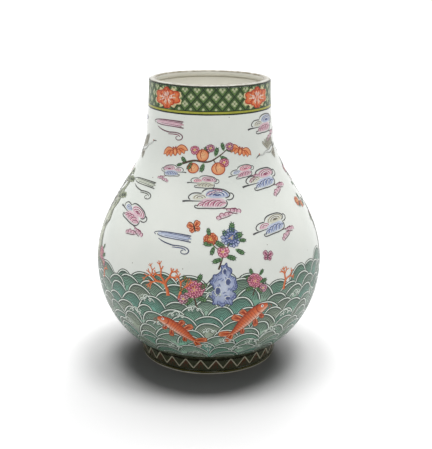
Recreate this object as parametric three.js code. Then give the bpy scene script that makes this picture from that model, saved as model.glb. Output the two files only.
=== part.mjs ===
// Pear-shaped porcelain vase, built as a potter builds it: thrown and turned sections
// stacked on flat seats, with a thin layer of clay slip luting each pair together.
// Units are millimetres, +Z is up, and the origin is the centre of the foot's resting plane.

import * as THREE from "three";

// Foot ring, a turned hoop that leans in a little towards the ground.
const FOOT_HEIGHT = 20;
const FOOT_TOP_RADIUS = 81.5;
const FOOT_LEAN = 3;
const FOOT_WALL = 10;
const FOOT_EDGE_ROUND = 2;

// Lower body, a thrown bowl whose edge overhangs the foot by a small ledge.
const BOWL_HEIGHT = 92;
const BOWL_LEDGE = 1;
const FLOOR_THICKNESS = 10;
const FLOOR_INSET = 22.5;
const BELLY_RADIUS = 128.2;
const BELLY_WALL = 7;

// Upper body, an S-shaped section that draws the belly in to the neck.
const SHOULDER_HEIGHT = 148.4;
const NECK_BASE_RADIUS = 70.2;

// Neck, a short cylinder that narrows slightly to the mouth.
const NECK_HEIGHT = 50.2;
const NECK_TAPER = 3.4;
const NECK_WALL = 5.6;

// Mouth rim, a rolled lip that stands proud on the inside.
const RIM_HEIGHT = 7;
const RIM_INWARD = 2.6;
const RIM_ROUND = 2.9;
const RIM_UNDERCUT = 1.2;

// Slip layers: their thickness, and how far each squeezes out inside the wall.
const SLIP_THICKNESS = 0.6;
const SLIP_BEAD = 1;

// Fullness of the curves, as shares of the width or height that each one spans.
const BOWL_FLARE = 0.7;
const BOWL_RISE = 0.24;
const BOWL_UPRIGHT = 0.38;
const HOLLOW_FLARE = 0.72;
const HOLLOW_UPRIGHT = 0.37;
const SHOULDER_UPRIGHT = 0.438;
const SHOULDER_HOLLOW = 0.323;
const NECK_EASE = 0.3;

// Lean of the outline where the shoulder runs into the neck, in millimetres of radius per millimetre up.
const NECK_BASE_LEAN = 0.085;

// No edge is rounded by more than this share of its wall.
const LARGEST_ROUND = 0.45;

// Facets round the axis, and steps along the outlines.
const SEGMENTS = 72;
const BODY_STEPS = 10;
const NECK_STEPS = 5;
const ROUND_STEPS = 4;

// Heights of the joints, stacked up from the resting plane.
const BOWL_BOTTOM = FOOT_HEIGHT + SLIP_THICKNESS;
const BOWL_TOP = BOWL_BOTTOM + BOWL_HEIGHT;
const SHOULDER_BOTTOM = BOWL_TOP + SLIP_THICKNESS;
const SHOULDER_TOP = SHOULDER_BOTTOM + SHOULDER_HEIGHT;
const NECK_BOTTOM = SHOULDER_TOP + SLIP_THICKNESS;
const NECK_TOP = NECK_BOTTOM + NECK_HEIGHT;
const RIM_BOTTOM = NECK_TOP + SLIP_THICKNESS;
const RIM_TOP = RIM_BOTTOM + RIM_HEIGHT;

const NECK_TOP_RADIUS = NECK_BASE_RADIUS - NECK_TAPER;

const point = (radius, height) => new THREE.Vector2(radius, height);

const { lerp } = THREE.MathUtils;

// A quarter-round that starts and ends along the two sides of its corner.
function quarterRound(from, corner, to) {
  return new THREE.QuadraticBezierCurve(from, corner, to).getPoints(ROUND_STEPS);
}

// An outline shifted in from a curve by a wall that changes evenly from its start to its end.
// Its two ends keep the heights of the curve's own ends, so that the seats stay flat.
function innerWall(curve, wallAtStart, wallAtEnd, steps) {
  const points = [];
  for (let i = 0; i <= steps; i += 1) {
    const outside = curve.getPoint(i / steps);
    const along = curve.getTangent(i / steps);
    const wall = lerp(wallAtStart, wallAtEnd, i / steps);
    points.push(point(outside.x - along.y * wall, outside.y + along.x * wall));
  }
  points[0] = point(curve.v0.x - wallAtStart, curve.v0.y);
  points[steps] = point(curve.v3.x - wallAtEnd, curve.v3.y);
  return points;
}

// A solid of revolution about +Z from an outline of (radius, height) points.
function turned(outline) {
  const yUpToZUp = new THREE.Matrix4().set(1, 0, 0, 0, 0, 0, -1, 0, 0, 1, 0, 0, 0, 0, 0, 1);
  return new THREE.LatheGeometry(outline, SEGMENTS).applyMatrix4(yUpToZUp);
}

// A turned ring, whose outline closes on itself.
function turnedRing(outline) {
  return turned([...outline, outline[0].clone()]);
}

function piece(name, geometry, color, roughness) {
  const material = new THREE.MeshStandardMaterial({ color, roughness, metalness: 0 });
  const mesh = new THREE.Mesh(geometry, material);
  mesh.name = name;
  return mesh;
}

// The foot's outside leans out as it rises, and both its lower edges are rounded for glaze to hold.
function footRing() {
  const groundOuter = FOOT_TOP_RADIUS - FOOT_LEAN;
  const groundInner = groundOuter - FOOT_WALL;
  const round = Math.min(FOOT_EDGE_ROUND, FOOT_WALL * LARGEST_ROUND);
  const outerEdge = quarterRound(
    point(groundOuter - round, 0),
    point(groundOuter, 0),
    point(groundOuter, round),
  );
  const innerEdge = quarterRound(
    point(groundInner, round),
    point(groundInner, 0),
    point(groundInner + round, 0),
  );
  return turnedRing([
    ...outerEdge,
    point(FOOT_TOP_RADIUS, FOOT_HEIGHT),
    point(FOOT_TOP_RADIUS - FOOT_WALL, FOOT_HEIGHT),
    ...innerEdge,
  ]);
}

// The bowl's outside rises from the foot joint and stands upright at the belly.
// Its inside comes down from the belly's wall and runs out level into the floor.
function lowerBody() {
  const footRadius = FOOT_TOP_RADIUS + BOWL_LEDGE;
  const floorRadius = footRadius - FLOOR_INSET;
  const hollowRadius = BELLY_RADIUS - BELLY_WALL;
  const floor = BOWL_BOTTOM + FLOOR_THICKNESS;
  const outside = new THREE.CubicBezierCurve(
    point(footRadius, BOWL_BOTTOM),
    point(lerp(footRadius, BELLY_RADIUS, BOWL_FLARE), lerp(BOWL_BOTTOM, BOWL_TOP, BOWL_RISE)),
    point(BELLY_RADIUS, lerp(BOWL_TOP, BOWL_BOTTOM, BOWL_UPRIGHT)),
    point(BELLY_RADIUS, BOWL_TOP),
  );
  const inside = new THREE.CubicBezierCurve(
    point(hollowRadius, BOWL_TOP),
    point(hollowRadius, lerp(BOWL_TOP, floor, HOLLOW_UPRIGHT)),
    point(lerp(floorRadius, hollowRadius, HOLLOW_FLARE), floor),
    point(floorRadius, floor),
  );
  return turned([
    point(0, BOWL_BOTTOM),
    ...outside.getPoints(BODY_STEPS),
    ...inside.getPoints(BODY_STEPS),
    point(0, floor),
  ]);
}

// The shoulder leaves the belly upright and reaches the neck with a slight lean.
function upperBody() {
  const hollow = SHOULDER_HEIGHT * SHOULDER_HOLLOW;
  const outside = new THREE.CubicBezierCurve(
    point(BELLY_RADIUS, SHOULDER_BOTTOM),
    point(BELLY_RADIUS, SHOULDER_BOTTOM + SHOULDER_HEIGHT * SHOULDER_UPRIGHT),
    point(NECK_BASE_RADIUS + NECK_BASE_LEAN * hollow, SHOULDER_TOP - hollow),
    point(NECK_BASE_RADIUS, SHOULDER_TOP),
  );
  const inside = innerWall(outside, BELLY_WALL, NECK_WALL, BODY_STEPS);
  return turnedRing([...outside.getPoints(BODY_STEPS), ...inside.reverse()]);
}

function neck() {
  const ease = NECK_HEIGHT * NECK_EASE;
  const outside = new THREE.CubicBezierCurve(
    point(NECK_BASE_RADIUS, NECK_BOTTOM),
    point(NECK_BASE_RADIUS - NECK_BASE_LEAN * ease, NECK_BOTTOM + ease),
    point(NECK_TOP_RADIUS, NECK_TOP - ease),
    point(NECK_TOP_RADIUS, NECK_TOP),
  );
  const inside = innerWall(outside, NECK_WALL, NECK_WALL, NECK_STEPS);
  return turnedRing([...outside.getPoints(NECK_STEPS), ...inside.reverse()]);
}

// The lip is as wide as the neck's wall and its inward roll, rounded on both edges.
function mouthRim() {
  const seatInner = NECK_TOP_RADIUS - NECK_WALL;
  const lipInner = seatInner - RIM_INWARD;
  const round = Math.min(RIM_ROUND, (NECK_WALL + RIM_INWARD) * LARGEST_ROUND);
  const outerEdge = quarterRound(
    point(NECK_TOP_RADIUS, RIM_TOP - round),
    point(NECK_TOP_RADIUS, RIM_TOP),
    point(NECK_TOP_RADIUS - round, RIM_TOP),
  );
  const innerEdge = quarterRound(
    point(lipInner + round, RIM_TOP),
    point(lipInner, RIM_TOP),
    point(lipInner, RIM_TOP - round),
  );
  return turnedRing([
    point(NECK_TOP_RADIUS, RIM_BOTTOM),
    ...outerEdge,
    ...innerEdge,
    point(lipInner, RIM_BOTTOM + RIM_UNDERCUT),
    point(seatInner, RIM_BOTTOM),
  ]);
}

// A layer of slip on top of a seat, as wide as the wall, with its squeezed-out bead inside.
function slipLayer(outerRadius, wall, bottom) {
  const innerRadius = outerRadius - wall;
  const top = bottom + SLIP_THICKNESS;
  return turnedRing([
    point(outerRadius, bottom),
    point(outerRadius, top),
    point(innerRadius, top),
    point(innerRadius - SLIP_BEAD, (bottom + top) / 2),
    point(innerRadius, bottom),
  ]);
}

const PORCELAIN = 0xe2e5e0;
const WAVE_GREEN = 0x7fa292;
const BAND_GREEN = 0x5f7d5c;
const FOOT_OLIVE = 0x5a5a44;
const RIM_IVORY = 0xdcd8c8;
const SLIP_CLAY = 0xc9c6ba;

const GLAZE_ROUGHNESS = 0.15;
const ENAMEL_ROUGHNESS = 0.25;
const CLAY_ROUGHNESS = 0.8;

const slips = [
  ["foot_slip", FOOT_TOP_RADIUS, FOOT_WALL, FOOT_HEIGHT],
  ["belly_slip", BELLY_RADIUS, BELLY_WALL, BOWL_TOP],
  ["neck_slip", NECK_BASE_RADIUS, NECK_WALL, SHOULDER_TOP],
  ["rim_slip", NECK_TOP_RADIUS, NECK_WALL, NECK_TOP],
];

const vase = new THREE.Group();
vase.add(
  piece("foot_ring", footRing(), FOOT_OLIVE, ENAMEL_ROUGHNESS),
  piece("lower_body", lowerBody(), WAVE_GREEN, GLAZE_ROUGHNESS),
  piece("upper_body", upperBody(), PORCELAIN, GLAZE_ROUGHNESS),
  piece("neck", neck(), BAND_GREEN, ENAMEL_ROUGHNESS),
  piece("mouth_rim", mouthRim(), RIM_IVORY, GLAZE_ROUGHNESS),
);
for (const [name, outerRadius, wall, bottom] of slips) {
  vase.add(piece(name, slipLayer(outerRadius, wall, bottom), SLIP_CLAY, CLAY_ROUGHNESS));
}

export default vase;
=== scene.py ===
import math
from collections import defaultdict

import bmesh
import bpy
import numpy as np
from mathutils import Matrix, Vector


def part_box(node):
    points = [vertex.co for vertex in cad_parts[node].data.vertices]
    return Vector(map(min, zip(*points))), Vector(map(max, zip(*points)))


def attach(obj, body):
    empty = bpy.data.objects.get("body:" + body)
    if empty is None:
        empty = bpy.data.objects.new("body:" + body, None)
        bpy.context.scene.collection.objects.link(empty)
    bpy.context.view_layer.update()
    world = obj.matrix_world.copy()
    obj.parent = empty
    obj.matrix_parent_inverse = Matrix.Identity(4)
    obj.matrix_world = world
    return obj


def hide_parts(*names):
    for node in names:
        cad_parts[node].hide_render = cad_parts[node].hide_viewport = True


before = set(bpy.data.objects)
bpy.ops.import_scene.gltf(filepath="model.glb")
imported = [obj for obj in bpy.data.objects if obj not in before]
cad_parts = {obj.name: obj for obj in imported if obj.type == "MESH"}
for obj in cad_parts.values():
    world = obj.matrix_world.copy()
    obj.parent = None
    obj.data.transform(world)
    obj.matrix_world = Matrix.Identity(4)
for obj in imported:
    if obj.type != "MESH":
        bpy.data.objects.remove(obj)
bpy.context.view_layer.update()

# Camera
# A long lens stands a little above the mouth, about a metre away, and looks down on the vase.
# It leans and turns by under half a degree, as a hand-levelled tripod does.
MM = 0.001
CAMERA_DISTANCE = 946.6 * MM
CAMERA_HEIGHT = 444.7 * MM
CAMERA_PITCH = 0.3004
CAMERA_TURN = 0.00843
CAMERA_LEAN = 0.00795
FOCAL_PIXELS = 861.7
FRAME_LONG_SIDE = 449
SENSOR_SIZE = 36.0


def new_object(name, data):
    made = bpy.data.objects.new(name, data)
    bpy.context.scene.collection.objects.link(made)
    return made


camera_data = bpy.data.cameras.new("camera")
camera_data.sensor_width = SENSOR_SIZE
camera_data.lens = FOCAL_PIXELS * SENSOR_SIZE / FRAME_LONG_SIDE
camera = new_object("camera", camera_data)
camera.matrix_world = (
    Matrix.Translation((0, -CAMERA_DISTANCE, CAMERA_HEIGHT))
    @ Matrix.Rotation(-CAMERA_TURN, 4, "Z")
    @ Matrix.Rotation(math.pi / 2 - CAMERA_PITCH, 4, "X")
    @ Matrix.Rotation(CAMERA_LEAN, 4, "Z")
)
bpy.context.scene.camera = camera
bpy.context.scene.view_settings.view_transform = "Standard"


# Floor and light
# The vase stands on a plain pale floor. Two overhead lights, a wide one and one behind throw the soft
# shadow on the floor. Three soft lights and a weak disc in the mouth light the vase alone.
FLOOR_RADIUS = 30.0
FLOOR_SEEN = 0.25
FLOOR_BOUNCE = 0.2
ROOM_LIGHT = 0.34
FILL_RADIUS = 0.04
FILL_DEPTH = 0.002
FILL_POWER = 0.018
# Each light's name, where it stands, its softness in degrees, its strength and what it lights.
LIGHTS = (
    ("floor_overhead_right", (0.2, 0.1, 1.0), 18, 3.15, "floor"),
    ("floor_overhead_left", (-0.15, 0.1, 1.0), 18, 2.4, "floor"),
    ("floor_wide", (0.08, 0.45, 1.0), 60, 8.5, "floor"),
    ("floor_behind", (0.36, 1.44, 1.0), 18, 1.45, "floor"),
    ("vase_overhead", (-0.03, 0.34, 1.0), 36, 2.2, "vase"),
    ("vase_wide", (0.0, -0.2, 1.0), 120, 1.25, "vase"),
    ("vase_right", (1.0, 0.15, 0.3), 60, 0.12, "vase"),
)


def node(tree, kind, inputs=(), **settings):
    """Adds a shader node. An input takes a value, a colour without its alpha, or the output that feeds it."""
    made = tree.nodes.new("ShaderNode" + kind)
    for name, value in settings.items():
        setattr(made, name, value)
    for name, value in dict(inputs).items():
        socket = made.inputs[name]
        if isinstance(value, bpy.types.NodeSocket):
            tree.links.new(value, socket)
        else:
            socket.default_value = (*value, 1) if socket.type == "RGBA" else value
    return made


def maths(tree, operation, a, b):
    """What one operation makes of two values."""
    return node(tree, "Math", {0: a, 1: b}, operation=operation).outputs[0]


def blend(tree, share, a, b):
    """A colour from a to b by share."""
    return node(tree, "Mix", {"Factor": share, "A": a, "B": b}, data_type="RGBA").outputs["Result"]


def remap(tree, value, low, high, to_low, to_high):
    """The value moved evenly from one range to another, and held at its ends."""
    return node(tree, "MapRange", {
        "Value": value, "From Min": low, "From Max": high, "To Min": to_low, "To Max": to_high,
    }).outputs["Result"]


def new_material(name):
    material = bpy.data.materials.new(name)
    material.use_nodes = True
    return material, material.node_tree


def seen_directly(tree):
    """1 for camera, glossy and transmitted rays, 0 for the rays that carry light."""
    rays = node(tree, "LightPath").outputs
    mirrored = maths(tree, "MAXIMUM", rays["Is Camera Ray"], rays["Is Glossy Ray"])
    return maths(tree, "MAXIMUM", mirrored, rays["Is Transmission Ray"])


turn = np.linspace(0, 2 * np.pi, 64, endpoint=False)
floor_points = FLOOR_RADIUS * np.stack([np.cos(turn), np.sin(turn), 0 * turn], 1)
floor_mesh = bpy.data.meshes.new("floor")
floor_mesh.from_pydata(floor_points.tolist(), [], [list(range(len(turn)))])
floor = new_object("floor", floor_mesh)
floor_paint, tree = new_material("floor_paint")
tree.nodes.clear()
floor_colour = blend(tree, seen_directly(tree), [FLOOR_BOUNCE] * 3, [FLOOR_SEEN] * 3)
floor_diffuse = node(tree, "BsdfDiffuse", {"Color": floor_colour})
node(tree, "OutputMaterial", {"Surface": floor_diffuse.outputs["BSDF"]})
floor_mesh.materials.append(floor_paint)

room = bpy.data.worlds.new("room")
room.use_nodes = True
room_light = room.node_tree.nodes["Background"].inputs
room_light["Color"].default_value = (1, 1, 1, 1)
room_strength = remap(room.node_tree, seen_directly(room.node_tree), 0, 1, ROOM_LIGHT, 1)
room.node_tree.links.new(room_strength, room_light["Strength"])
bpy.context.scene.world = room

lit_pieces = bpy.data.collections.new("lit_pieces")
lit_floor = bpy.data.collections.new("lit_floor")
lit_floor.objects.link(floor)
for name, stand, softness, strength, lights_up in LIGHTS:
    light_data = bpy.data.lights.new(name, "SUN")
    light_data.angle = math.radians(softness)
    light_data.energy = strength
    light = new_object(name, light_data)
    light.light_linking.receiver_collection = lit_floor if lights_up == "floor" else lit_pieces
    light.rotation_mode = "QUATERNION"
    light.rotation_quaternion = Vector(stand).to_track_quat("Z", "Y")
fill_data = bpy.data.lights.new("mouth_fill", "AREA")
fill_data.shape = "DISK"
fill_data.size = 2 * FILL_RADIUS
fill_data.energy = FILL_POWER
fill = new_object("mouth_fill", fill_data)
fill.location.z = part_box("mouth_rim")[1][2] - FILL_DEPTH
fill.light_linking.receiver_collection = lit_pieces
fill.visible_camera = False
fill.visible_glossy = False


# Porcelain body
# Five thrown and turned sections of white porcelain, luted together and fired as one under a clear,
# faintly green glaze. Each is a closed shell, and the walls thin from 10 mm at the foot to 5.6 mm.
# The glaze stands a little inside the model's outline, and the raised enamels reach out to it.
ENAMEL_DEPTH = 0.36 * MM
FOOT_WALL = 10 * MM
FOOT_LEAN = 3 * MM
FOOT_ROUND = 2 * MM
BOWL_LEDGE = 1 * MM
BOWL_FLARE = 0.7
BOWL_RISE = 0.24
BOWL_UPRIGHT = 0.38
BELLY_WALL = 7 * MM
HOLLOW_FLARE = 0.72
HOLLOW_UPRIGHT = 0.37
FLOOR_THICKNESS = 10 * MM
FLOOR_INSET = 22.5 * MM
SHOULDER_UPRIGHT = 0.438
SHOULDER_HOLLOW = 0.323
NECK_WALL = 5.6 * MM
NECK_LEAN = 0.085
NECK_EASE = 0.3
JOINT_EASE = 12 * MM
RIM_INWARD = 2.6 * MM
RIM_ROUND = 2.9 * MM
RIM_UNDERCUT = 1.2 * MM
RIM_SOFTNESS = 0.5 * MM
BASE_DISC = 20 * MM
BASE_EDGE = 1 * MM
FLOOR_DISC = 0.8
TURN_STEPS = 288
SHARP_ANGLE = math.radians(40)
WELD = 2e-7
# Grains are in features to a metre, and most of a noise's values lie in its span.
NOISE_SPAN = (0.3, 0.7)
CLOUDING_GRAIN = 14
CLOUDING_SPAN = (0.35, 0.68)
SPECK_GRAIN = 150.0
SPECK_REACH = (0.05, 0.11)
SPECK_SHARE = 0.04
PEEL_GRAIN = 260
GLAZE_ROUGHNESS = (0.17, 0.24)


def span(name):
    """Lowest height, highest height and largest radius of a node."""
    low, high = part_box(name)
    return low[2], high[2], high[0]


_, foot_high, foot_radius = span("foot_ring")
bowl_low, bowl_high, belly_radius = span("lower_body")
shoulder_low, shoulder_high, _ = span("upper_body")
neck_low, neck_high, neck_radius = span("neck")
rim_low, rim_high, rim_radius = span("mouth_rim")
foot_joint = (foot_high + bowl_low) / 2
belly_joint = (bowl_high + shoulder_low) / 2
neck_joint = (shoulder_high + neck_low) / 2
rim_joint = (neck_high + rim_low) / 2
ledge_radius = foot_radius + BOWL_LEDGE
ground_radius = foot_radius - FOOT_LEAN
floor_radius = ledge_radius - FLOOR_INSET
floor_top = bowl_low + FLOOR_THICKNESS
hollow_radius = belly_radius - BELLY_WALL
lip_radius = rim_radius - NECK_WALL - RIM_INWARD


def mix(a, b, share):
    """From a to b by a share of the way."""
    return a + (b - a) * share


def curve(steps, *corners):
    """Points (radius, height) along the Bezier curve of its corners: a straight line for two, a quarter
    round for three. Each pass puts a point between every two neighbours, at one share of the way."""
    share = np.linspace(0, 1, steps)[:, None]
    points = [np.array(corner) + 0 * share for corner in corners]
    while len(points) > 1:
        points = [mix(a, b, share) for a, b in zip(points, points[1:])]
    return points[0]


def headings(points, *spacing):
    """The unit vector along a run of points, at each of them."""
    along = np.gradient(points, *spacing, axis=0)
    return along / (np.linalg.norm(along, axis=1, keepdims=True) + 1e-9)


def run_lengths(points):
    """How far along a run each of its points lies."""
    return np.append(0, np.cumsum(np.linalg.norm(np.diff(points, axis=0), axis=1)))


def sideways(points, distance):
    """The points moved to the left of their run by a distance, which may change along it."""
    return points + headings(points)[:, ::-1] * (-1, 1) * np.reshape(distance, (-1, 1))


outer_bowl = curve(
    70, (ledge_radius, bowl_low),
    (mix(ledge_radius, belly_radius, BOWL_FLARE), mix(bowl_low, bowl_high, BOWL_RISE)),
    (belly_radius, mix(bowl_high, bowl_low, BOWL_UPRIGHT)), (belly_radius, bowl_high),
)
inner_bowl = curve(
    60, (hollow_radius, bowl_high), (hollow_radius, mix(bowl_high, floor_top, HOLLOW_UPRIGHT)),
    (mix(floor_radius, hollow_radius, HOLLOW_FLARE), floor_top), (floor_radius, floor_top),
)
hollow = SHOULDER_HOLLOW * (shoulder_high - shoulder_low)
outer_shoulder = curve(
    90, (belly_radius, shoulder_low), (belly_radius, mix(shoulder_low, shoulder_high, SHOULDER_UPRIGHT)),
    (neck_radius + NECK_LEAN * hollow, shoulder_high - hollow), (neck_radius, shoulder_high),
)
ease = NECK_EASE * (neck_high - neck_low)
outer_neck = curve(
    30, (neck_radius, neck_low), (neck_radius - NECK_LEAN * ease, neck_low + ease),
    (rim_radius, neck_high - ease), (rim_radius, neck_high),
)
inner_shoulder = sideways(outer_shoulder, np.linspace(BELLY_WALL, NECK_WALL, len(outer_shoulder)))[-2:0:-1]
inner_neck = sideways(outer_neck, NECK_WALL)[-2:0:-1]
rounding = rim_high - RIM_ROUND
sections = [
    curve(12, (ground_radius, FOOT_ROUND), (foot_radius, foot_high)),
    outer_bowl,
    outer_shoulder,
    outer_neck,
    curve(5, (rim_radius, rim_low), (rim_radius, rounding))[:-1],
    curve(9, (rim_radius, rounding), (rim_radius, rim_high), (rim_radius - RIM_ROUND, rim_high)),
]
glazed_outline = sideways(np.vstack(sections), ENAMEL_DEPTH)
# The slip at the neck joint is upright, so the glaze is eased across it to lean on without a step.
above_joint = glazed_outline[:, 1] - neck_joint
near_joint = np.clip(1 - np.abs(above_joint) / JOINT_EASE, 0, 1) ** 2
glazed_outline[:, 0] -= near_joint * NECK_LEAN * (neck_low - shoulder_high) / 2 * np.sign(above_joint)
outer_foot, outer_bowl, outer_shoulder, outer_neck, outer_rim = np.split(
    glazed_outline, np.cumsum([len(section) for section in sections])[:4]
)


def new_piece(name, points, quads, chart, mark, marks):
    """A smooth mesh from its points, quads and map, with a value or a colour marked on each point."""
    mesh = bpy.data.meshes.new(name)
    mesh.from_pydata(points.reshape(-1, 3).tolist(), [], quads.reshape(-1, 4).tolist())
    mesh.uv_layers.new(name="OFBake").uv.foreach_set("vector", chart.astype(np.float32).ravel())
    kind, field = ("FLOAT", "value") if marks.ndim == 1 else ("FLOAT_COLOR", "color")
    mesh.attributes.new(mark, kind, "POINT").data.foreach_set(field, marks.astype(np.float32).ravel())
    shape = bmesh.new()
    shape.from_mesh(mesh)
    bmesh.ops.remove_doubles(shape, verts=shape.verts, dist=WELD)
    bmesh.ops.dissolve_degenerate(shape, edges=shape.edges, dist=WELD)
    shape.to_mesh(mesh)
    shape.free()
    mesh.shade_smooth()
    return new_object(name, mesh)


def turned(name, outside, inside, closed=True):
    """A surface of revolution about +Z. The profile runs up the outside and down the inside, with the
    wall on its left, and either closes on itself or starts and ends on the axis. The map is the turn
    by the length along the profile, and the mark "inside" tells the two sides apart."""
    profile = np.vstack([*outside, *inside])
    side = np.repeat([0.0, 1.0], [len(np.vstack(outside)), len(np.vstack(inside))])
    keep = np.append(True, np.linalg.norm(np.diff(profile, axis=0), axis=1) > WELD)
    profile, side = profile[keep], side[keep]
    radius, height = profile[:, :1], profile[:, 1:]
    turn = np.linspace(0, 2 * np.pi, TURN_STEPS, endpoint=False)
    points = np.stack([radius * np.sin(turn), -radius * np.cos(turn), height + 0 * turn], 2)
    run = run_lengths(np.vstack([profile, profile[:1]]) if closed else profile)
    row, column = np.indices((len(run) - 1, TURN_STEPS))
    quads, chart = [], []
    for up, on in ((0, 0), (0, 1), (1, 1), (1, 0)):
        quads.append((row + up) % len(profile) * TURN_STEPS + (column + on) % TURN_STEPS)
        chart.append(np.stack([(column + on) / TURN_STEPS, run[row + up] / run[-1]], 2))
    marks = np.repeat(side, TURN_STEPS)
    piece = new_piece(name, points, np.stack(quads, 2), np.stack(chart, 2), "inside", marks)
    piece.data.set_sharp_from_angle(angle=SHARP_ANGLE)
    return piece


def take_up(piece, material, replaced=None):
    """Gives a piece its material and body, hides the node it replaces, and gives it the light of the vase."""
    piece.data.materials.append(material)
    if replaced:
        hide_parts(replaced)
    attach(piece, "root")
    lit_pieces.objects.link(piece)


def srgb(red, green, blue):
    """The linear colour of a display's 0 to 255 values."""
    share = np.array([red, green, blue]) / 255
    return np.where(share > 0.04045, ((share + 0.055) / 1.055) ** 2.4, share / 12.92)


def effect_group(name, **inputs):
    """A shader node group with named inputs, which puts out a colour, a roughness and a height."""
    tree = bpy.data.node_groups.new(name, "ShaderNodeTree")
    outputs = {"Color": "Color", "Roughness": "Float", "Height": "Float"}
    for way, sockets in (("INPUT", inputs), ("OUTPUT", outputs)):
        for socket, kind in sockets.items():
            tree.interface.new_socket(socket, in_out=way, socket_type="NodeSocket" + kind)
    return tree, tree.nodes.new("NodeGroupInput").outputs


def put_out(tree, colour, roughness, height):
    """Feeds the three outputs of an effect group."""
    made = tree.nodes.new("NodeGroupOutput").inputs
    for socket, fed in (("Color", colour), ("Roughness", roughness), ("Height", height)):
        tree.links.new(fed, made[socket])


def noise(tree, scale, detail, where):
    """Values about 0.5 that change over a space, with scale features to a metre and finer ones by detail."""
    return node(tree, "TexNoise", {"Vector": where, "Scale": scale, "Detail": detail}).outputs["Fac"]


def object_space(tree):
    return node(tree, "TexCoord").outputs["Object"]


def surface(tree, colour, roughness, height, depth, sheen=0.5):
    """Joins a colour, a roughness and a bump of some depth to the material's own Principled shader."""
    shader = tree.nodes["Principled BSDF"].inputs
    bump = node(tree, "Bump", {"Height": height, "Distance": depth, "Strength": 1.0}).outputs["Normal"]
    for socket, fed in (("Base Color", colour), ("Roughness", roughness), ("Normal", bump)):
        tree.links.new(fed, shader[socket])
    shader["Specular IOR Level"].default_value = sheen


# The glaze: broad cool and warm clouds in its colour, a few iron specks, and a fine orange-peel surface.
glaze_tree, given = effect_group("fired_glaze", Glaze="Color", Pooled="Color", Speck="Color")
where = object_space(glaze_tree)
clouding = remap(glaze_tree, noise(glaze_tree, CLOUDING_GRAIN, 3, where), *CLOUDING_SPAN, 0, 1)
cells = node(glaze_tree, "TexVoronoi", {"Vector": where, "Scale": SPECK_GRAIN}).outputs
near_cell = remap(glaze_tree, cells["Distance"], *SPECK_REACH, 1, 0)
chosen = node(glaze_tree, "SeparateColor", {"Color": cells["Color"]}).outputs["Red"]
speck = maths(glaze_tree, "MULTIPLY", near_cell, maths(glaze_tree, "LESS_THAN", chosen, SPECK_SHARE))
clouded = blend(glaze_tree, clouding, given["Glaze"], given["Pooled"])
peel = noise(glaze_tree, PEEL_GRAIN, 1, where)
glaze_roughness = remap(glaze_tree, peel, *NOISE_SPAN, *GLAZE_ROUGHNESS)
put_out(glaze_tree, blend(glaze_tree, speck, clouded, given["Speck"]), glaze_roughness, peel)

GLAZE_COLOUR = srgb(232, 235, 228)
GLAZE_POOLED = srgb(223, 228, 221)
GLAZE_SPECK = srgb(120, 112, 98)
GLAZE_PEEL = 0.02 * MM
# Inside the vase the glaze is warmer in tone and painted brighter than outside: the extra brightness is
# painted light for the dim inside of the mouth.
LIT_INNER_GLAZE = srgb(248, 246, 236)
LIT_INNER_POOLED = srgb(240, 238, 226)
# Bare clay at the foot's ground edge, darkened as painted shadow from the floor under the foot.
SHADED_BISCUIT = srgb(190, 182, 162)
BISCUIT_ROUGHNESS = 0.75
BARE_GRAIN = 90
BARE_HEIGHTS = (0.7 * MM, 1.5 * MM)
BARE_END = 2.2 * MM
WORN_GILT_AND_SHADE = srgb(120, 110, 84)
GILT_WEAR = 2 * MM
# The least share of the gilt colour across the whole top of the lip: partly worn gilding, partly painted
# shade that darkens the lip's lit top.
GILT_AND_SHADE_FILM = 0.7
GILT_GRAIN = 150
GILT_SPAN = (0.36, 0.58)
GILT_LEAST = 0.65
GILT_INNER_LINE = (2.6 * MM, 4 * MM)
GILT_OUTER_LINE = (2.6 * MM, 1.5 * MM)


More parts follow.
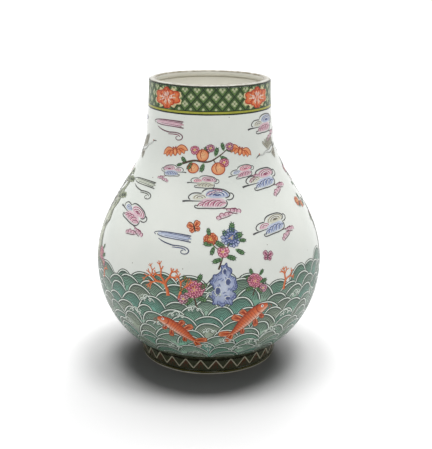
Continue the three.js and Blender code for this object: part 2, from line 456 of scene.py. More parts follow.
def glaze_material(name, gilt=False):
    """Clear glaze over white clay, warmer inside the vase and painted brighter there as painted light. Bare
    clay shows where the foot meets the ground, darkened as painted shadow. Worn gilding lies round the inner
    and outer edges of the lip's top, over a thinner brown film across the top that is partly painted shade."""
    material, tree = new_material(name)
    outer, inner = (
        node(tree, "Group", {**colours, "Speck": GLAZE_SPECK}, node_tree=glaze_tree).outputs
        for colours in (
            {"Glaze": GLAZE_COLOUR, "Pooled": GLAZE_POOLED}, {"Glaze": LIT_INNER_GLAZE, "Pooled": LIT_INNER_POOLED},
        )
    )
    side = node(tree, "Attribute", attribute_name="inside").outputs["Fac"]
    where = object_space(tree)
    height = node(tree, "SeparateXYZ", {"Vector": where}).outputs["Z"]
    lowest = remap(tree, noise(tree, BARE_GRAIN, 3, where), *NOISE_SPAN, *BARE_HEIGHTS)
    bare = remap(tree, height, lowest, BARE_END, 1, 0)
    # Where the clay is bare it takes the darkened clay colour, which is partly painted shadow.
    colour = blend(tree, bare, blend(tree, side, outer["Color"], inner["Color"]), SHADED_BISCUIT)
    if gilt:
        level = node(tree, "VectorMath", {0: where, 1: (1, 1, 0)}, operation="MULTIPLY").outputs[0]
        radius = node(tree, "VectorMath", {0: level}, operation="LENGTH").outputs["Value"]
        # The inner line fades out to a film over the rest of the top, which is partly painted shade.
        inner_line = remap(tree, radius, *(lip_radius + reach for reach in GILT_INNER_LINE), 1, GILT_AND_SHADE_FILM)
        outer_line = remap(tree, radius, *(rim_radius - reach for reach in GILT_OUTER_LINE), 0, 1)
        worn = remap(tree, noise(tree, GILT_GRAIN, 5, where), *GILT_SPAN, GILT_LEAST, 1)
        crown = remap(tree, height, rim_high - GILT_WEAR, rim_high - GILT_WEAR / 2, 0, 1)
        kept = maths(tree, "MULTIPLY", worn, crown)
        gilt_and_shade = maths(tree, "MULTIPLY", kept, maths(tree, "MAXIMUM", inner_line, outer_line))
        colour = blend(tree, gilt_and_shade, colour, WORN_GILT_AND_SHADE)
    roughness = remap(tree, bare, 0, 1, outer["Roughness"], BISCUIT_ROUGHNESS)
    surface(tree, colour, roughness, outer["Height"], GLAZE_PEEL)
    return material


porcelain = glaze_material("porcelain_glaze")
gilt_porcelain = glaze_material("gilt_rim_glaze", gilt=True)
ground = ground_radius - ENAMEL_DEPTH
inner_ground = ground_radius - FOOT_WALL
foot_inner = foot_radius - FOOT_WALL
joint_radius = (outer_shoulder[-1, 0] + outer_neck[0, 0]) / 2
neck_inner = neck_radius - NECK_WALL
seat_inner = rim_radius - NECK_WALL
undercut = rim_low + RIM_UNDERCUT
# Each section: the node that it replaces, its slot, and its profile up the outside and down the inside.
for replaced, slot, outside, inside in (
    ("foot_ring", "foot_enamel", (
        curve(7, (ground - FOOT_ROUND, 0), (ground, 0), (ground, FOOT_ROUND)),
        outer_foot,
        [(outer_foot[-1, 0], foot_joint)],
    ), (
        [(foot_inner, foot_joint)],
        curve(6, (foot_inner, foot_high), (inner_ground, FOOT_ROUND)),
        curve(7, (inner_ground, FOOT_ROUND), (inner_ground, 0), (inner_ground + FOOT_ROUND, 0)),
    )),
    ("lower_body", "wave_enamel", (
        [(0, bowl_low)],
        curve(8, (BASE_DISC, bowl_low), (outer_bowl[0, 0] - BASE_EDGE, bowl_low)),
        outer_bowl,
        [(outer_bowl[-1, 0], belly_joint)],
    ), (
        [(hollow_radius, belly_joint)],
        inner_bowl,
        curve(6, (floor_radius * FLOOR_DISC, floor_top), (0, floor_top)),
    )),
    ("upper_body", "porcelain_glaze", (
        [(outer_shoulder[0, 0], belly_joint)], outer_shoulder, [(joint_radius, neck_joint)],
    ), (
        [(neck_inner, neck_joint)], inner_shoulder, [(hollow_radius, belly_joint)],
    )),
    ("neck", "band_enamel", (
        [(joint_radius, neck_joint)], outer_neck, [(outer_neck[-1, 0], rim_joint)],
    ), (
        [(seat_inner, rim_joint)], inner_neck, [(neck_inner, neck_joint)],
    )),
    ("mouth_rim", "rim_glaze", (
        [(outer_rim[0, 0], rim_joint)], outer_rim,
    ), (
        curve(7, (lip_radius + RIM_ROUND, rim_high), (lip_radius, rim_high), (lip_radius, rounding)),
        [(lip_radius, undercut + 2 * RIM_SOFTNESS), (lip_radius + RIM_SOFTNESS, undercut)],
        [(seat_inner, rim_joint)],
    )),
):
    piece = turned(replaced + "_glazed", outside, inside, closed=replaced != "lower_body")
    take_up(piece, gilt_porcelain if replaced == "mouth_rim" else porcelain, replaced)


# Slip joints
# Thin rings of white clay slip that lute each pair of sections together. They are trowelled on wet,
# squeezed out in a small bead inside the wall, and fired with the rest.
SLIP_COLOUR = srgb(205, 200, 186)
SLIP_SHADE = srgb(180, 173, 156)
SLIP_INSET = 2 * MM
SLIP_BEAD = 1 * MM
SLIP_MOTTLE = 60
SLIP_GRAIN = 900
SLIP_GRAIN_DEPTH = 0.1 * MM
SLIP_ROUGHNESS = (0.7, 0.9)
slip_clay, tree = new_material("slip_clay")
grain = noise(tree, SLIP_GRAIN, 4, object_space(tree))
clay = blend(tree, noise(tree, SLIP_MOTTLE, 3, object_space(tree)), SLIP_COLOUR, SLIP_SHADE)
surface(tree, clay, remap(tree, grain, *NOISE_SPAN, *SLIP_ROUGHNESS), grain, SLIP_GRAIN_DEPTH)
for replaced, wall in (
    ("foot_slip", FOOT_WALL), ("belly_slip", BELLY_WALL), ("neck_slip", NECK_WALL), ("rim_slip", NECK_WALL),
):
    low, high, radius = span(replaced)
    inner = radius - wall
    bead = curve(7, (inner, high), (inner - 2 * SLIP_BEAD, (low + high) / 2), (inner, low))
    outside = curve(2, (radius - SLIP_INSET, low), (radius - SLIP_INSET, high))
    take_up(turned(replaced + "_bead", [outside], [bead]), slip_clay, replaced)


# Foot band
# Rings and a zigzag painted round the foot in overglaze enamels: a zigzag of cream lines over maroon
# and dark green triangles, between olive and near-black rings. Each stroke stands a little proud.
# What is painted is measured in millimetres, up the outline of the glaze and off its surface.
PAINT_STEP = 1.3
RING_STEP = 1.4
RING_LIFT = 0.04
RING_WAVER = 0.12
STROKE_RISE = 0.045
PATCH_STEP = 0.001
ENAMEL_SHEEN = 0.3
ENAMEL_RELIEF = 0.04 * MM
ENAMEL_ROUGHNESS = (0.36, 0.22)
FOOT_DARK = srgb(38, 38, 24)
FOOT_GREEN = srgb(68, 72, 54)
FOOT_OLIVE = srgb(88, 84, 42)
FOOT_MAROON = srgb(92, 66, 50)
FOOT_CREAM = srgb(192, 188, 164)
# The heights between which the foot's rings lie, from the ground up, and their colours.
FOOT_EDGES = (1.2, 2.5, 4.3, 5.7, 18.0, 20.8)
FOOT_COLOURS = (FOOT_DARK, FOOT_OLIVE, FOOT_DARK, FOOT_GREEN, FOOT_DARK)
ZIGZAGS = 30
ZIGZAG_MIDDLE = 13.9
ZIGZAG_RISE = 5.4
ZIGZAG_WOBBLE = 0.35
ZIGZAG_DROP = 5.9
TRIANGLE_LIFT = 0.09
ZIGZAG_LIFT = 0.13

outline = glazed_outline / MM
outline_climb = run_lengths(outline)
outline_heading = headings(outline, outline_climb)
layers = defaultdict(list)


def climb_at(height):
    """How far up the outline, along the surface, a height lies."""
    return np.interp(height, outline[:, 1], outline_climb)


def radius_at(climb):
    """The outline's radius where the climb has come this far."""
    return np.interp(climb, outline_climb, outline[:, 0])


def on_glaze(turn, climb, lift):
    """Points on the outside: turned about the axis from the front, climbed up the outline, and lifted
    off the glaze along its normal, which is the outline's heading turned by a right angle."""
    out, up = (np.interp(climb, outline_climb, column) for column in outline_heading.T)
    height = np.interp(climb, outline_climb, outline[:, 1]) - lift * out
    radius = radius_at(climb) + lift * up
    return np.stack([radius * np.sin(turn), -radius * np.cos(turn), height], -1) * MM


def add_patch(layer, turn, climb, lift, tint):
    """Keeps a grid of painted points: where they lie, how far they stand off the glaze, and their colour."""
    turn, climb, lift = np.broadcast_arrays(turn, climb, lift)
    layers[layer].append((turn, climb, lift, np.broadcast_to(tint, turn.shape + (3,))))


def paint_pieces(names, material):
    """One mesh from the grids of each layer. Each quad is wound to face outwards. The map is the turn by
    the climb, over just the stretch that the piece covers, and is cut at the back if it goes round."""
    for name in names:
        paint = layers[name]
        starts = np.cumsum([0] + [patch[0].size for patch in paint])
        quads = []
        for start, (turn, *_) in zip(starts, paint):
            index = start + np.arange(turn.size).reshape(turn.shape)
            corners = (index[:-1, :-1], index[1:, :-1], index[1:, 1:], index[:-1, 1:])
            quads.append(np.stack(corners, 2).reshape(-1, 4))
        quads = np.vstack(quads)
        turn, climb, lift = (np.concatenate([patch[i].ravel() for patch in paint]) for i in range(3))
        tint = np.concatenate([patch[3].reshape(-1, 3) for patch in paint])
        flat = np.stack([turn * radius_at(climb), climb], 1)[quads]
        across, along = flat[:, 2] - flat[:, 0], flat[:, 3] - flat[:, 1]
        backward = across[:, 0] * along[:, 1] < across[:, 1] * along[:, 0]
        quads[backward] = quads[backward][:, ::-1]
        if np.ptp(turn) > 6:
            share = turn[quads] / (2 * np.pi)
            u = 0.5 + 0.96 * (share - np.floor(share.mean(1, keepdims=True) + 0.5))
        else:
            u = 0.01 + 0.98 * (turn[quads] - turn.min()) / np.ptp(turn)
        v = 0.01 + 0.98 * (climb[quads] - climb.min()) / np.ptp(climb)
        tint = np.column_stack([tint, np.ones(len(tint))])
        piece = new_piece(name, on_glaze(turn, climb, lift), quads, np.stack([u, v], -1), "tint", tint)
        take_up(piece, material)


def run_through(points, closed=False):
    """Points spaced evenly along a smooth curve through the given ones, each cubic stretch of which
    leaves a point parallel to the line between its two neighbours. Any further columns, such as a
    width, go with the points."""
    points = np.asarray(points, float)
    ends = (points[-1], points[:2]) if closed else (2 * points[0] - points[1], 2 * points[-1] - points[-2])
    points = np.vstack([ends[0], points, ends[1]])
    t = np.linspace(0, 1, 10, endpoint=False)[:, None, None]
    a, b, c, d = points[:-3], points[1:-2], points[2:-1], points[3:]
    smooth = b + 0.5 * ((c - a) * t + (2 * a - 5 * b + 4 * c - d) * t ** 2 + (3 * b - a - 3 * c + d) * t ** 3)
    smooth = np.vstack([smooth.transpose(1, 0, 2).reshape(-1, points.shape[1]), points[-2:-1]])
    run = run_lengths(smooth[:, :2])
    even = np.linspace(0, run[-1], max(3, int(run[-1] / PAINT_STEP) + 2))
    return np.stack([np.interp(even, run, column) for column in smooth.T], 1)


def arc(x, y, wide, tall, start, end, steps=9):
    """Points along an ellipse about (x, y), from one angle to another in degrees."""
    angle = np.radians(np.linspace(start, end, steps))
    return np.stack([x + wide * np.cos(angle), y + tall * np.sin(angle)], 1)


class Brush:
    """A brush that paints in one layer at one spot. A motif is drawn in its own millimetres: sized, leaned
    over, mirrored, and put round a middle given in degrees of turn and millimetres of height."""

    def __init__(self, layer, lift, turn, height, size=1.0, lean=0.0, flip=1):
        self.layer, self.lift = layer, lift
        self.turn, self.climb = math.radians(turn), climb_at(height)
        self.size, self.lean, self.flip = size, math.radians(lean), flip

    def add(self, x, y, lift, tint):
        """Adds a patch. Those that follow one another differ by a hair in lift, so that none coincide."""
        lift = lift + len(layers[self.layer]) % 12 * PATCH_STEP
        cosine, sine = self.size * math.cos(self.lean), self.size * math.sin(self.lean)
        turn = self.turn + (cosine * x * self.flip - sine * y) / radius_at(self.climb)
        add_patch(self.layer, turn, self.climb + sine * x * self.flip + cosine * y, lift, tint)

    def stroke(self, points, colour, width=1.0, lift=None, across=3, edge=None, closed=False, blunt=0.3):
        """A brush stroke along points (x, y), which thins from its middle to blunt ends, or along points
        (x, y, width). Its middle stands proud and its sides meet the glaze. The edge is the colour of its
        sides, or a pair of colours for its right and its left side."""
        run = run_through(points, closed)
        if run.shape[1] == 2:
            share = np.linspace(0, 1, len(run))
            swell = np.ones(len(run)) if closed else np.minimum(1, blunt + 4 * np.minimum(share, 1 - share))
            run = np.column_stack([run, width * swell])
        ahead = headings(run[:, :2])
        k = np.linspace(-1, 1, across)
        reach = run[:, 2:] / 2 * k
        edges = edge if isinstance(edge, tuple) else (colour if edge is None else edge,) * 2
        tint = mix(colour, np.where(k[:, None] < 0, *edges), np.abs(k[:, None]) ** 1.5)
        lift = (self.lift if lift is None else lift) + STROKE_RISE * (1 - k ** 2)
        self.add(run[:, :1] - ahead[:, 1:] * reach, run[:, 1:2] + ahead[:, :1] * reach, lift, tint)

    def wash(self, shape, inner, outer, lift=None, rings=4, smooth=True, fade=1.0):
        """A filled shape: rings that shrink from its outline to its middle, from outer to inner colour."""
        rim = run_through(shape, closed=True) if smooth else np.vstack([shape, shape[:1]])
        middle = rim[:-1].mean(0)
        share = np.linspace(0, 1, rings + 1)[:, None, None]
        x, y = np.moveaxis(middle + (rim - middle) * share, 2, 0)
        self.add(x, y, self.lift if lift is None else lift, mix(inner, outer, share ** fade))

    def dot(self, x, y, radius, colour, lift=None, sides=6, squash=1.0):
        """A small round of one colour, as flat as its squash."""
        dot_shape = arc(x, y, radius, radius * squash, 0, 360 - 360 / sides, sides)
        self.wash(dot_shape, colour, colour, lift, rings=1)


def ring(layer, low, high, colour, seed, waver=RING_WAVER):
    """A painted ring between two heights, whose edges waver as a hand-held brush does: by three sines of
    the turn, each with a beat of its own. It stands proud at its middle and meets the glaze at its edges."""
    turn = np.linspace(-np.pi, np.pi, TURN_STEPS + 1)[:, None]
    edges = []
    for edge, beat in zip((low, high), np.random.default_rng(seed).uniform(0, 2 * np.pi, (2, 3))):
        wander = sum(np.sin(k * turn + p) / 2 for k, p in zip((3, 7, 16), beat))
        edges.append(climb_at(edge + waver * wander))
    k = np.linspace(0, 1, max(4, math.ceil((high - low) / RING_STEP)))
    add_patch(layer, turn, mix(*edges, k), RING_LIFT + STROKE_RISE * 4 * k * (1 - k), colour)


# Brushed enamel: its colour thickens and thins as the brush left it, and its surface is softly uneven.
brushed_tree, given = effect_group(
    "brushed_enamel", Color="Color", Thin="Float", Thick="Float", Grain="Float",
)
pooling = node(brushed_tree, "TexNoise", {
    "Vector": object_space(brushed_tree), "Scale": given["Grain"], "Detail": 4.0, "Roughness": 0.6,
}).outputs["Fac"]
density = remap(brushed_tree, pooling, *NOISE_SPAN, given["Thin"], given["Thick"])
brushed = node(brushed_tree, "VectorMath", {0: given["Color"], 1: density}, operation="MULTIPLY")
brushed_roughness = remap(brushed_tree, pooling, *NOISE_SPAN, *ENAMEL_ROUGHNESS)
put_out(brushed_tree, brushed.outputs["Vector"], brushed_roughness, pooling)


def enamel(name, thin, thick, grain):
    """Overglaze enamel in the piece's own tints, brushed thin and thick with grain features to a metre."""
    material, tree = new_material(name)
    tint = node(tree, "Attribute", attribute_name="tint").outputs["Color"]
    brushing = {"Color": tint, "Thin": thin, "Thick": thick, "Grain": grain}
    made = node(tree, "Group", brushing, node_tree=brushed_tree).outputs
    surface(tree, made["Color"], made["Roughness"], made["Height"], ENAMEL_RELIEF, ENAMEL_SHEEN)
    return material


for seed, (low, high, colour) in enumerate(zip(FOOT_EDGES, FOOT_EDGES[1:], FOOT_COLOURS), 1):
    ring("foot_rings", low, high, colour, seed, waver=0 if colour is FOOT_GREEN else RING_WAVER)
half = math.pi * radius_at(climb_at(ZIGZAG_MIDDLE)) / ZIGZAGS
for i in range(ZIGZAGS):
    brush = Brush("foot_zigzag", ZIGZAG_LIFT, (i + 0.5) * 360 / ZIGZAGS, ZIGZAG_MIDDLE)
    wobble = ZIGZAG_WOBBLE * math.sin(2.7 * i)
    top = ZIGZAG_RISE + wobble
    k = np.linspace(0, 1, 6)[:, None]
    x = 0.86 * half * (1 - k) * np.linspace(-1, 1, 4)
    turn = brush.turn + x / radius_at(brush.climb)
    add_patch("foot_zigzag", turn, brush.climb + mix(-ZIGZAG_DROP, top - 1.2, k), TRIANGLE_LIFT, FOOT_MAROON)
    middle = (top - ZIGZAG_DROP) / 2
    for line in (
        [(-half, -ZIGZAG_DROP), (-half / 2, middle + wobble), (0, top)],
        [(0, top), (half / 2, middle), (half, -ZIGZAG_DROP)],
    ):
        brush.stroke(line, FOOT_CREAM, 1.25, blunt=0.7)
foot_paint = enamel("foot_enamel", 0.8, 1.15, 320.0)
paint_pieces(("foot_rings", "foot_zigzag"), foot_paint)


# Sea
# Rows of breaking waves, laid like fish scales round the lower body. Each has a raised white crest,
# a dark line on either side of it, a washed green body, and fine dark lines that follow the crest.
WAVE_ROWS = 13
WAVE_PITCH = 29.5
WAVE_DROP = 15.5
LOWEST_CREST = 35.0
HIGHEST_CREST = 130
SEA_FLOOR = 29.0
SEA_START = 20.7
SEA_RULE_TOP = 21.5
SEA_STEPS = 10
CREST_WIDTH = 1.25
CREST_INSET = 0.7
CREST_LIFT = 0.1
WAVE_LIFT = 0.075
WAVE_GAP = 0.15
WASH_STEP = 2.2
WASH_DEPTH = 12
FLANK_INSETS = (-0.3, 1.8)
LINE_INSETS = np.arange(3.2, 12.6, 1.7)
FLANK_WIDTH = 1.1
LINE_WIDTH = 0.6
# How much paler the wave washes are, from the lowest rows to the highest: the lowest rows are painted much
# lighter as painted light on the bowl's underside, which faces down.
WASH_PALER_AND_LIT = (1.75, 1.15)
WAVE_GREENS = (
    srgb(118, 161, 140), srgb(108, 151, 131), srgb(142, 170, 151),
    srgb(128, 154, 135), srgb(146, 158, 140), srgb(110, 161, 144),
)
WAVE_DEEP = srgb(92, 112, 98)
WAVE_LINE = srgb(38, 58, 48)
WAVE_DARK = srgb(36, 44, 38)
CREST_WHITE = srgb(228, 238, 227)
# A dark green band round the bottom of the sea just above the foot, darkened partly as painted shade under
# the bowl.
SEA_EDGE_AND_SHADE = srgb(64, 70, 50)

# Where the sea's upper edge lies, as (turn in degrees, height in millimetres).
SEA_TOP = np.array([
    (-172, 131), (-150, 128), (-128, 136), (-105, 133), (-84, 127), (-65, 125), (-48, 129), (-40, 134),
    (-30, 133), (-15, 135), (0, 137), (14, 141), (22, 133), (31, 125), (40, 128), (48, 132), (60, 133),
    (72, 141), (84, 144), (98, 136), (120, 129), (140, 134), (160, 136),
])
dice = np.random.default_rng(11)
sea_turn = np.arange(360 * SEA_STEPS) / SEA_STEPS - 180
sea_front = np.full(len(sea_turn), climb_at(SEA_FLOOR))
# The dark band at the sea's foot is partly painted shade under the bowl.
ring("wave_wash", SEA_START, SEA_FLOOR, SEA_EDGE_AND_SHADE, 6, waver=0)
ring("wave_lines", SEA_START, SEA_RULE_TOP, WAVE_DARK, 7, waver=0.05)


def clear_runs(shown):
    """Start and end of each stretch of three or more true values."""
    edges = np.flatnonzero(np.diff(np.concatenate([[0], shown.astype(int), [0]])))
    return [(a, b) for a, b in edges.reshape(-1, 2) if b - a >= 3]


def wave_ribbon(layer, turn, climb, per_degree, inset, width, colour, lift, across):
    """A line that keeps a distance inside the wave's edge, wherever no nearer wave hides it."""
    ahead = headings(np.stack([turn * per_degree, climb], 1))
    x, y = turn * per_degree + ahead[:, 1] * inset, climb - ahead[:, 0] * inset
    shown = y > np.interp(x / per_degree, sea_turn, sea_front, period=360) + WAVE_GAP
    if inset > 2:
        shown &= np.gradient(x) > 0
    k = np.linspace(-1, 1, across)
    for a, b in clear_runs(shown):
        from_end = np.minimum(np.arange(b - a), np.arange(b - a)[::-1])[:, None]
        reach = width / 2 * np.minimum(1, 0.45 + 0.3 * from_end) * k
        line_turn = np.radians((x[a:b, None] - ahead[a:b, 1:] * reach) / per_degree)
        line_lift = lift + STROKE_RISE * 1.4 * (1 - k ** 2)
        add_patch(layer, line_turn, y[a:b, None] + ahead[a:b, :1] * reach, line_lift, colour)


def draw_wave(middle, crest, half, drop, lean, green, deep):
    """One scallop. Its edge rises from its feet to its crest by one less the 2.3th power of the distance
    from its middle, all to the power 0.85, and it shows only above the waves in front of it."""
    x = np.sin(np.linspace(-math.pi / 2, math.pi / 2, 35))
    arch = (1 - np.abs(x) ** 2.3) ** 0.85
    turn = np.maximum.accumulate(middle + half * x + lean * arch) + np.linspace(0, 1e-4, len(x))
    climb = crest - drop * (1 - arch)
    first, last = math.ceil((turn[0] + 180) * SEA_STEPS), math.floor((turn[-1] + 180) * SEA_STEPS)
    inside = np.arange(first, last + 1) / SEA_STEPS - 180
    index = np.arange(first, last + 1) % len(sea_turn)
    edge, behind = np.interp(inside, turn, climb), sea_front[index]
    for a, b in clear_runs(edge > behind + 0.1):
        columns = np.unique(np.append(np.arange(a, b, 5), b - 1))
        share = np.linspace(0, 1, math.ceil((edge - behind).max() / WASH_STEP) + 1)
        y = mix(behind[columns, None], edge[columns, None], share)
        depth = np.clip((edge[columns, None] - y) / WASH_DEPTH, 0, 1)[..., None]
        tint = mix(deep, green, depth ** 0.7)
        add_patch("wave_wash", np.radians(inside[columns, None]), y, RING_LIFT, tint)
    shape = (turn, climb, math.radians(1) * radius_at(crest))
    for inset in FLANK_INSETS:
        wave_ribbon("wave_lines", *shape, inset, FLANK_WIDTH, WAVE_DARK, WAVE_LIFT, 2)
    for inset in LINE_INSETS:
        wave_ribbon("wave_lines", *shape, inset, LINE_WIDTH, WAVE_LINE, WAVE_LIFT, 2)
    wave_ribbon("wave_crests", *shape, CREST_INSET, CREST_WIDTH, CREST_WHITE, CREST_LIFT, 3)
    sea_front[index] = np.maximum(behind, edge)


for row in range(WAVE_ROWS):
    share = row / (WAVE_ROWS - 1)
    row_radius = radius_at(mix(climb_at(LOWEST_CREST), climb_at(HIGHEST_CREST), share))
    count = round(2 * math.pi * row_radius / WAVE_PITCH)
    # Lower rows get lighter washes, as painted light on the down-facing bowl.
    thin = np.interp(share, (0.1, 0.7), WASH_PALER_AND_LIT)
    for i in dice.permutation(count):
        middle = -180 + 360 * (i + 0.5 * (row % 2) + dice.uniform(-0.16, 0.16)) / count
        top = climb_at(np.interp(middle, *SEA_TOP.T, period=360))
        crest = mix(climb_at(LOWEST_CREST), top, share) + dice.uniform(-2.4, 2.4)
        half = 180 / count * dice.uniform(0.98, 1.4)
        lean = half * dice.uniform(-0.28, 0.28)
        drop = WAVE_DROP * dice.uniform(0.85, 1.15)
        draw_wave(middle, crest, half, drop, lean, WAVE_GREENS[dice.integers(6)] * thin, WAVE_DEEP * thin)
sea_enamel = enamel("sea_enamel", 0.74, 1.18, 130.0)
crest_enamel = enamel("crest_enamel", 0.9, 1.04, 400.0)
paint_pieces(("wave_wash", "wave_lines"), sea_enamel)
paint_pieces(("wave_crests",), crest_enamel)


# Neck band
# A trellis of dark green lines over washed green, with a cream blossom in each cell, painted round the
# neck between ruled lines. Four iron-red flowers lie over it, a quarter of a turn apart.
BAND_LOW = 293.6
BAND_HIGH = 318.2
YELLOW_EDGES = (290.8, 293.1)
CELLS = 32
CELL_RISE = 7.4
CELL_OFFSET = 2.2
TRELLIS_LIFTS = (0.08, 0.1)
TRELLIS_WIDTH = 1.45
TRELLIS_EDGE = 0.75
BLOSSOM_ARM = 1.95
BLOSSOM_SIZE = 1.42
BLOSSOM_LIFT = 0.14
EYE_LIFT = 0.17
LOBE_LIFT = 0.165
PETAL_LIFT = 0.18
PETAL_LIFT_STEP = 0.004
PETAL_EDGE_LIFT = 0.215
PETAL_LINE_LIFT = 0.22
STAMEN_LIFT = 0.235
BAND_GREEN = srgb(92, 122, 64)
BAND_DARK = srgb(22, 34, 14)
BAND_EDGE = srgb(44, 70, 30)
BAND_YELLOW = srgb(168, 168, 60)
BLOSSOM_CREAM = srgb(196, 200, 162)
BLOSSOM_EYE = srgb(66, 64, 44)
BLOSSOM_ROUND = np.array([
    (0, 1.05), (0.72, 0.72), (1.05, 0), (0.72, -0.72), (0, -1.05), (-0.72, -0.72), (-1.05, 0), (-0.72, 0.72),
])
FLOWER_RED = srgb(220, 96, 44)
FLOWER_DEEP = srgb(186, 62, 26)
FLOWER_WARM = srgb(230, 158, 104)
FLOWER_PALE = srgb(226, 206, 156)
FLOWER_WHITE = srgb(238, 214, 198)
LOBE_GREEN = srgb(178, 190, 150)
FLOWER_TURNS = (-42, 48, 138, -132)
FLOWER_HEIGHT = 305.2
LOBE_ANGLES = (-22, 24, 158, 204, 55, 125, 236, 304)
LOBE_REACH = (22.4, 11.4)
LOBE_WIDTH = 8
# Each petal's angle in degrees, length and width.
FLOWER_PETALS = (
    (2, 19.6, 14.2), (177, 19.2, 13.6), (118, 11.6, 14), (60, 11.4, 13.5), (236, 11.8, 13), (305, 12, 13),
    (88, 9, 9),
)

ring("band_ground", BAND_LOW, BAND_HIGH, BAND_GREEN, 8, waver=0)
ring("band_ground", *YELLOW_EDGES, BAND_YELLOW, 9, waver=0.08)
for low, high, seed in ((289.4, 291.1, 10), (292.9, 293.9, 12), (317.5, 319.1, 13)):
    ring("band_trellis", low, high, BAND_DARK, seed)
reach = (BAND_HIGH - BAND_LOW) / 2
half_cell = math.pi * radius_at(climb_at(BAND_LOW + reach)) / CELLS
for i in range(CELLS):
    place = ((i + 0.5) * 360 / CELLS, BAND_LOW + reach)
    for way, lift in zip((-1, 1), TRELLIS_LIFTS):
        brush = Brush("band_trellis", lift, *place)
        y = np.array([-reach, CELL_OFFSET - CELL_RISE, reach])
        x = way * (y + CELL_RISE - CELL_OFFSET) / CELL_RISE * half_cell
        x[1] += 0.25 * math.sin(1.9 * i + way)
        brush.stroke(np.stack([x, y], 1), BAND_DARK, TRELLIS_WIDTH, edge=BAND_EDGE, blunt=0.8)
        brush.stroke(np.stack([x + 2 * way, y], 1), BAND_EDGE, TRELLIS_EDGE, blunt=0.8)
    brush = Brush("band_blossoms", BLOSSOM_LIFT, *place)
    for row in range(-2, 2):
        shift, height = half_cell * (row % 2), row * CELL_RISE + CELL_OFFSET
        for x, y in BLOSSOM_ARM * np.array([(0, 1), (0, -1), (1, 0), (-1, 0)]):
            if abs(height + y) <= reach - 0.8:
                size = BLOSSOM_SIZE + 0.14 * math.sin(i + 2.3 * x + row)
                shape = (shift + x, height + y) + size * BLOSSOM_ROUND
                brush.wash(shape, BLOSSOM_CREAM, mix(BLOSSOM_CREAM, BAND_GREEN, 0.35), rings=2, smooth=False)
        if abs(height) < reach - 1:
            for rise in (-0.45, 0.45):
                cross = [(shift - 0.5, height - rise), (shift + 0.5, height + rise)]
                brush.stroke(cross, BLOSSOM_EYE, 0.8, EYE_LIFT)


def towards(angle, length):
    """The vector of a length along an angle."""
    return length * np.array([math.cos(angle), math.sin(angle)])


def petal_outline(x, y, length, width, angle, notch=0.12):
    """A petal from its base at (x, y), by a turn round it: half of one less the turn's cosine along it,
    less a narrow notch at the tip, and the turn's sine across it, fuller towards the tip."""
    t = np.linspace(0, 2 * np.pi, 14, endpoint=False)
    bulge = 0.5 - 0.5 * np.cos(t)
    along = length * bulge * (1 - notch * np.exp(-((t - np.pi) / 0.45) ** 2))
    aside = width / 2 * np.sin(t) * (0.75 + 0.25 * bulge)
    return (x, y) + np.outer(along, towards(angle, 1)) + np.outer(aside, towards(angle + math.pi / 2, 1))


for flower, flower_turn in enumerate(FLOWER_TURNS):
    place = (flower_turn, FLOWER_HEIGHT, 1.0, 3 - 2 * flower, 1 if flower % 2 else -1)
    broad = Brush("band_flowers", LOBE_LIFT, *place)
    fine = Brush("band_flower_lines", PETAL_LINE_LIFT, *place)
    for degrees in LOBE_ANGLES:
        x, y = towards(math.radians(degrees), 1) * LOBE_REACH
        lobe = petal_outline(0, 0, math.hypot(x, y), LOBE_WIDTH, math.atan2(y, x))
        broad.wash(lobe, LOBE_GREEN, FLOWER_PALE)
    for i, (degrees, length, width) in enumerate(FLOWER_PETALS):
        angle = math.radians(degrees)
        shape = petal_outline(0, 0, length, width, angle, 0.22)
        broad.wash(shape, FLOWER_WARM, FLOWER_RED, PETAL_LIFT + PETAL_LIFT_STEP * i, fade=0.8)
        fine.stroke(shape[3:12], FLOWER_DEEP, 1.2, PETAL_EDGE_LIFT, blunt=0.7)
        for fan, ink in ((-0.3, FLOWER_WHITE), (0.05, FLOWER_WHITE), (0.35, FLOWER_DEEP)):
            fine.stroke(np.outer((0.2, 0.4, 0.62), towards(angle + fan, length)), ink, 0.95)
    for x, y in ((-6, 0.5), (-3.2, -0.8), (-0.4, 0.6), (2.6, -0.5), (5.6, 0.4)):
        fine.stroke([(x * 0.8, y - 2.2), (x, y), (x * 1.25, y + 2.4)], FLOWER_WHITE, 1.05, STAMEN_LIFT)
BAND_LAYERS = ("band_ground", "band_trellis", "band_blossoms", "band_flowers", "band_flower_lines")
paint_pieces(BAND_LAYERS, enamel("band_enamel", 0.72, 1.2, 420.0))


# Clouds
# Scrolling clouds and long wisps over the upper body, each drawn in grey line with a reserved white
# gap, washed pink, blue or cream, and scored with arcs of the same hue. They carry on round the back.
LOW_WASH = 0.175
RESERVED_LIFT = 0.187
LOW_LINE = 0.195
HIGH_WASH = 0.255
HIGH_LINE = 0.275
CLOUD_LINE = srgb(70, 70, 72)
RESERVED = srgb(238, 240, 236)
# Each hue's pale, middle and deep tones.
HUES = {
    "pink": (srgb(234, 214, 220), srgb(198, 122, 146), srgb(132, 52, 84)),
    "blue": (srgb(212, 220, 232), srgb(124, 140, 184), srgb(62, 76, 124)),
    "cream": (srgb(230, 230, 214), srgb(182, 178, 154), srgb(104, 98, 82)),
    "grey": (srgb(222, 227, 214), srgb(160, 166, 146), srgb(84, 88, 76)),
    "orange": (srgb(240, 190, 140), srgb(222, 112, 62), srgb(164, 58, 30)),
    "green": (srgb(158, 184, 134), srgb(86, 130, 82), srgb(40, 70, 44)),
    "rose": (srgb(244, 206, 210), srgb(216, 112, 138), srgb(150, 48, 84)),
}


def paint_motifs(motif, names, *places):
    """Paints a motif at each place, with a broad brush in the first layer and a fine one in the second.
    A place is where a brush is put, and the motif's own details follow it."""
    for place, *details in places:
        motif(Brush(names[0], LOW_WASH, *place), Brush(names[1], LOW_LINE, *place), *details)


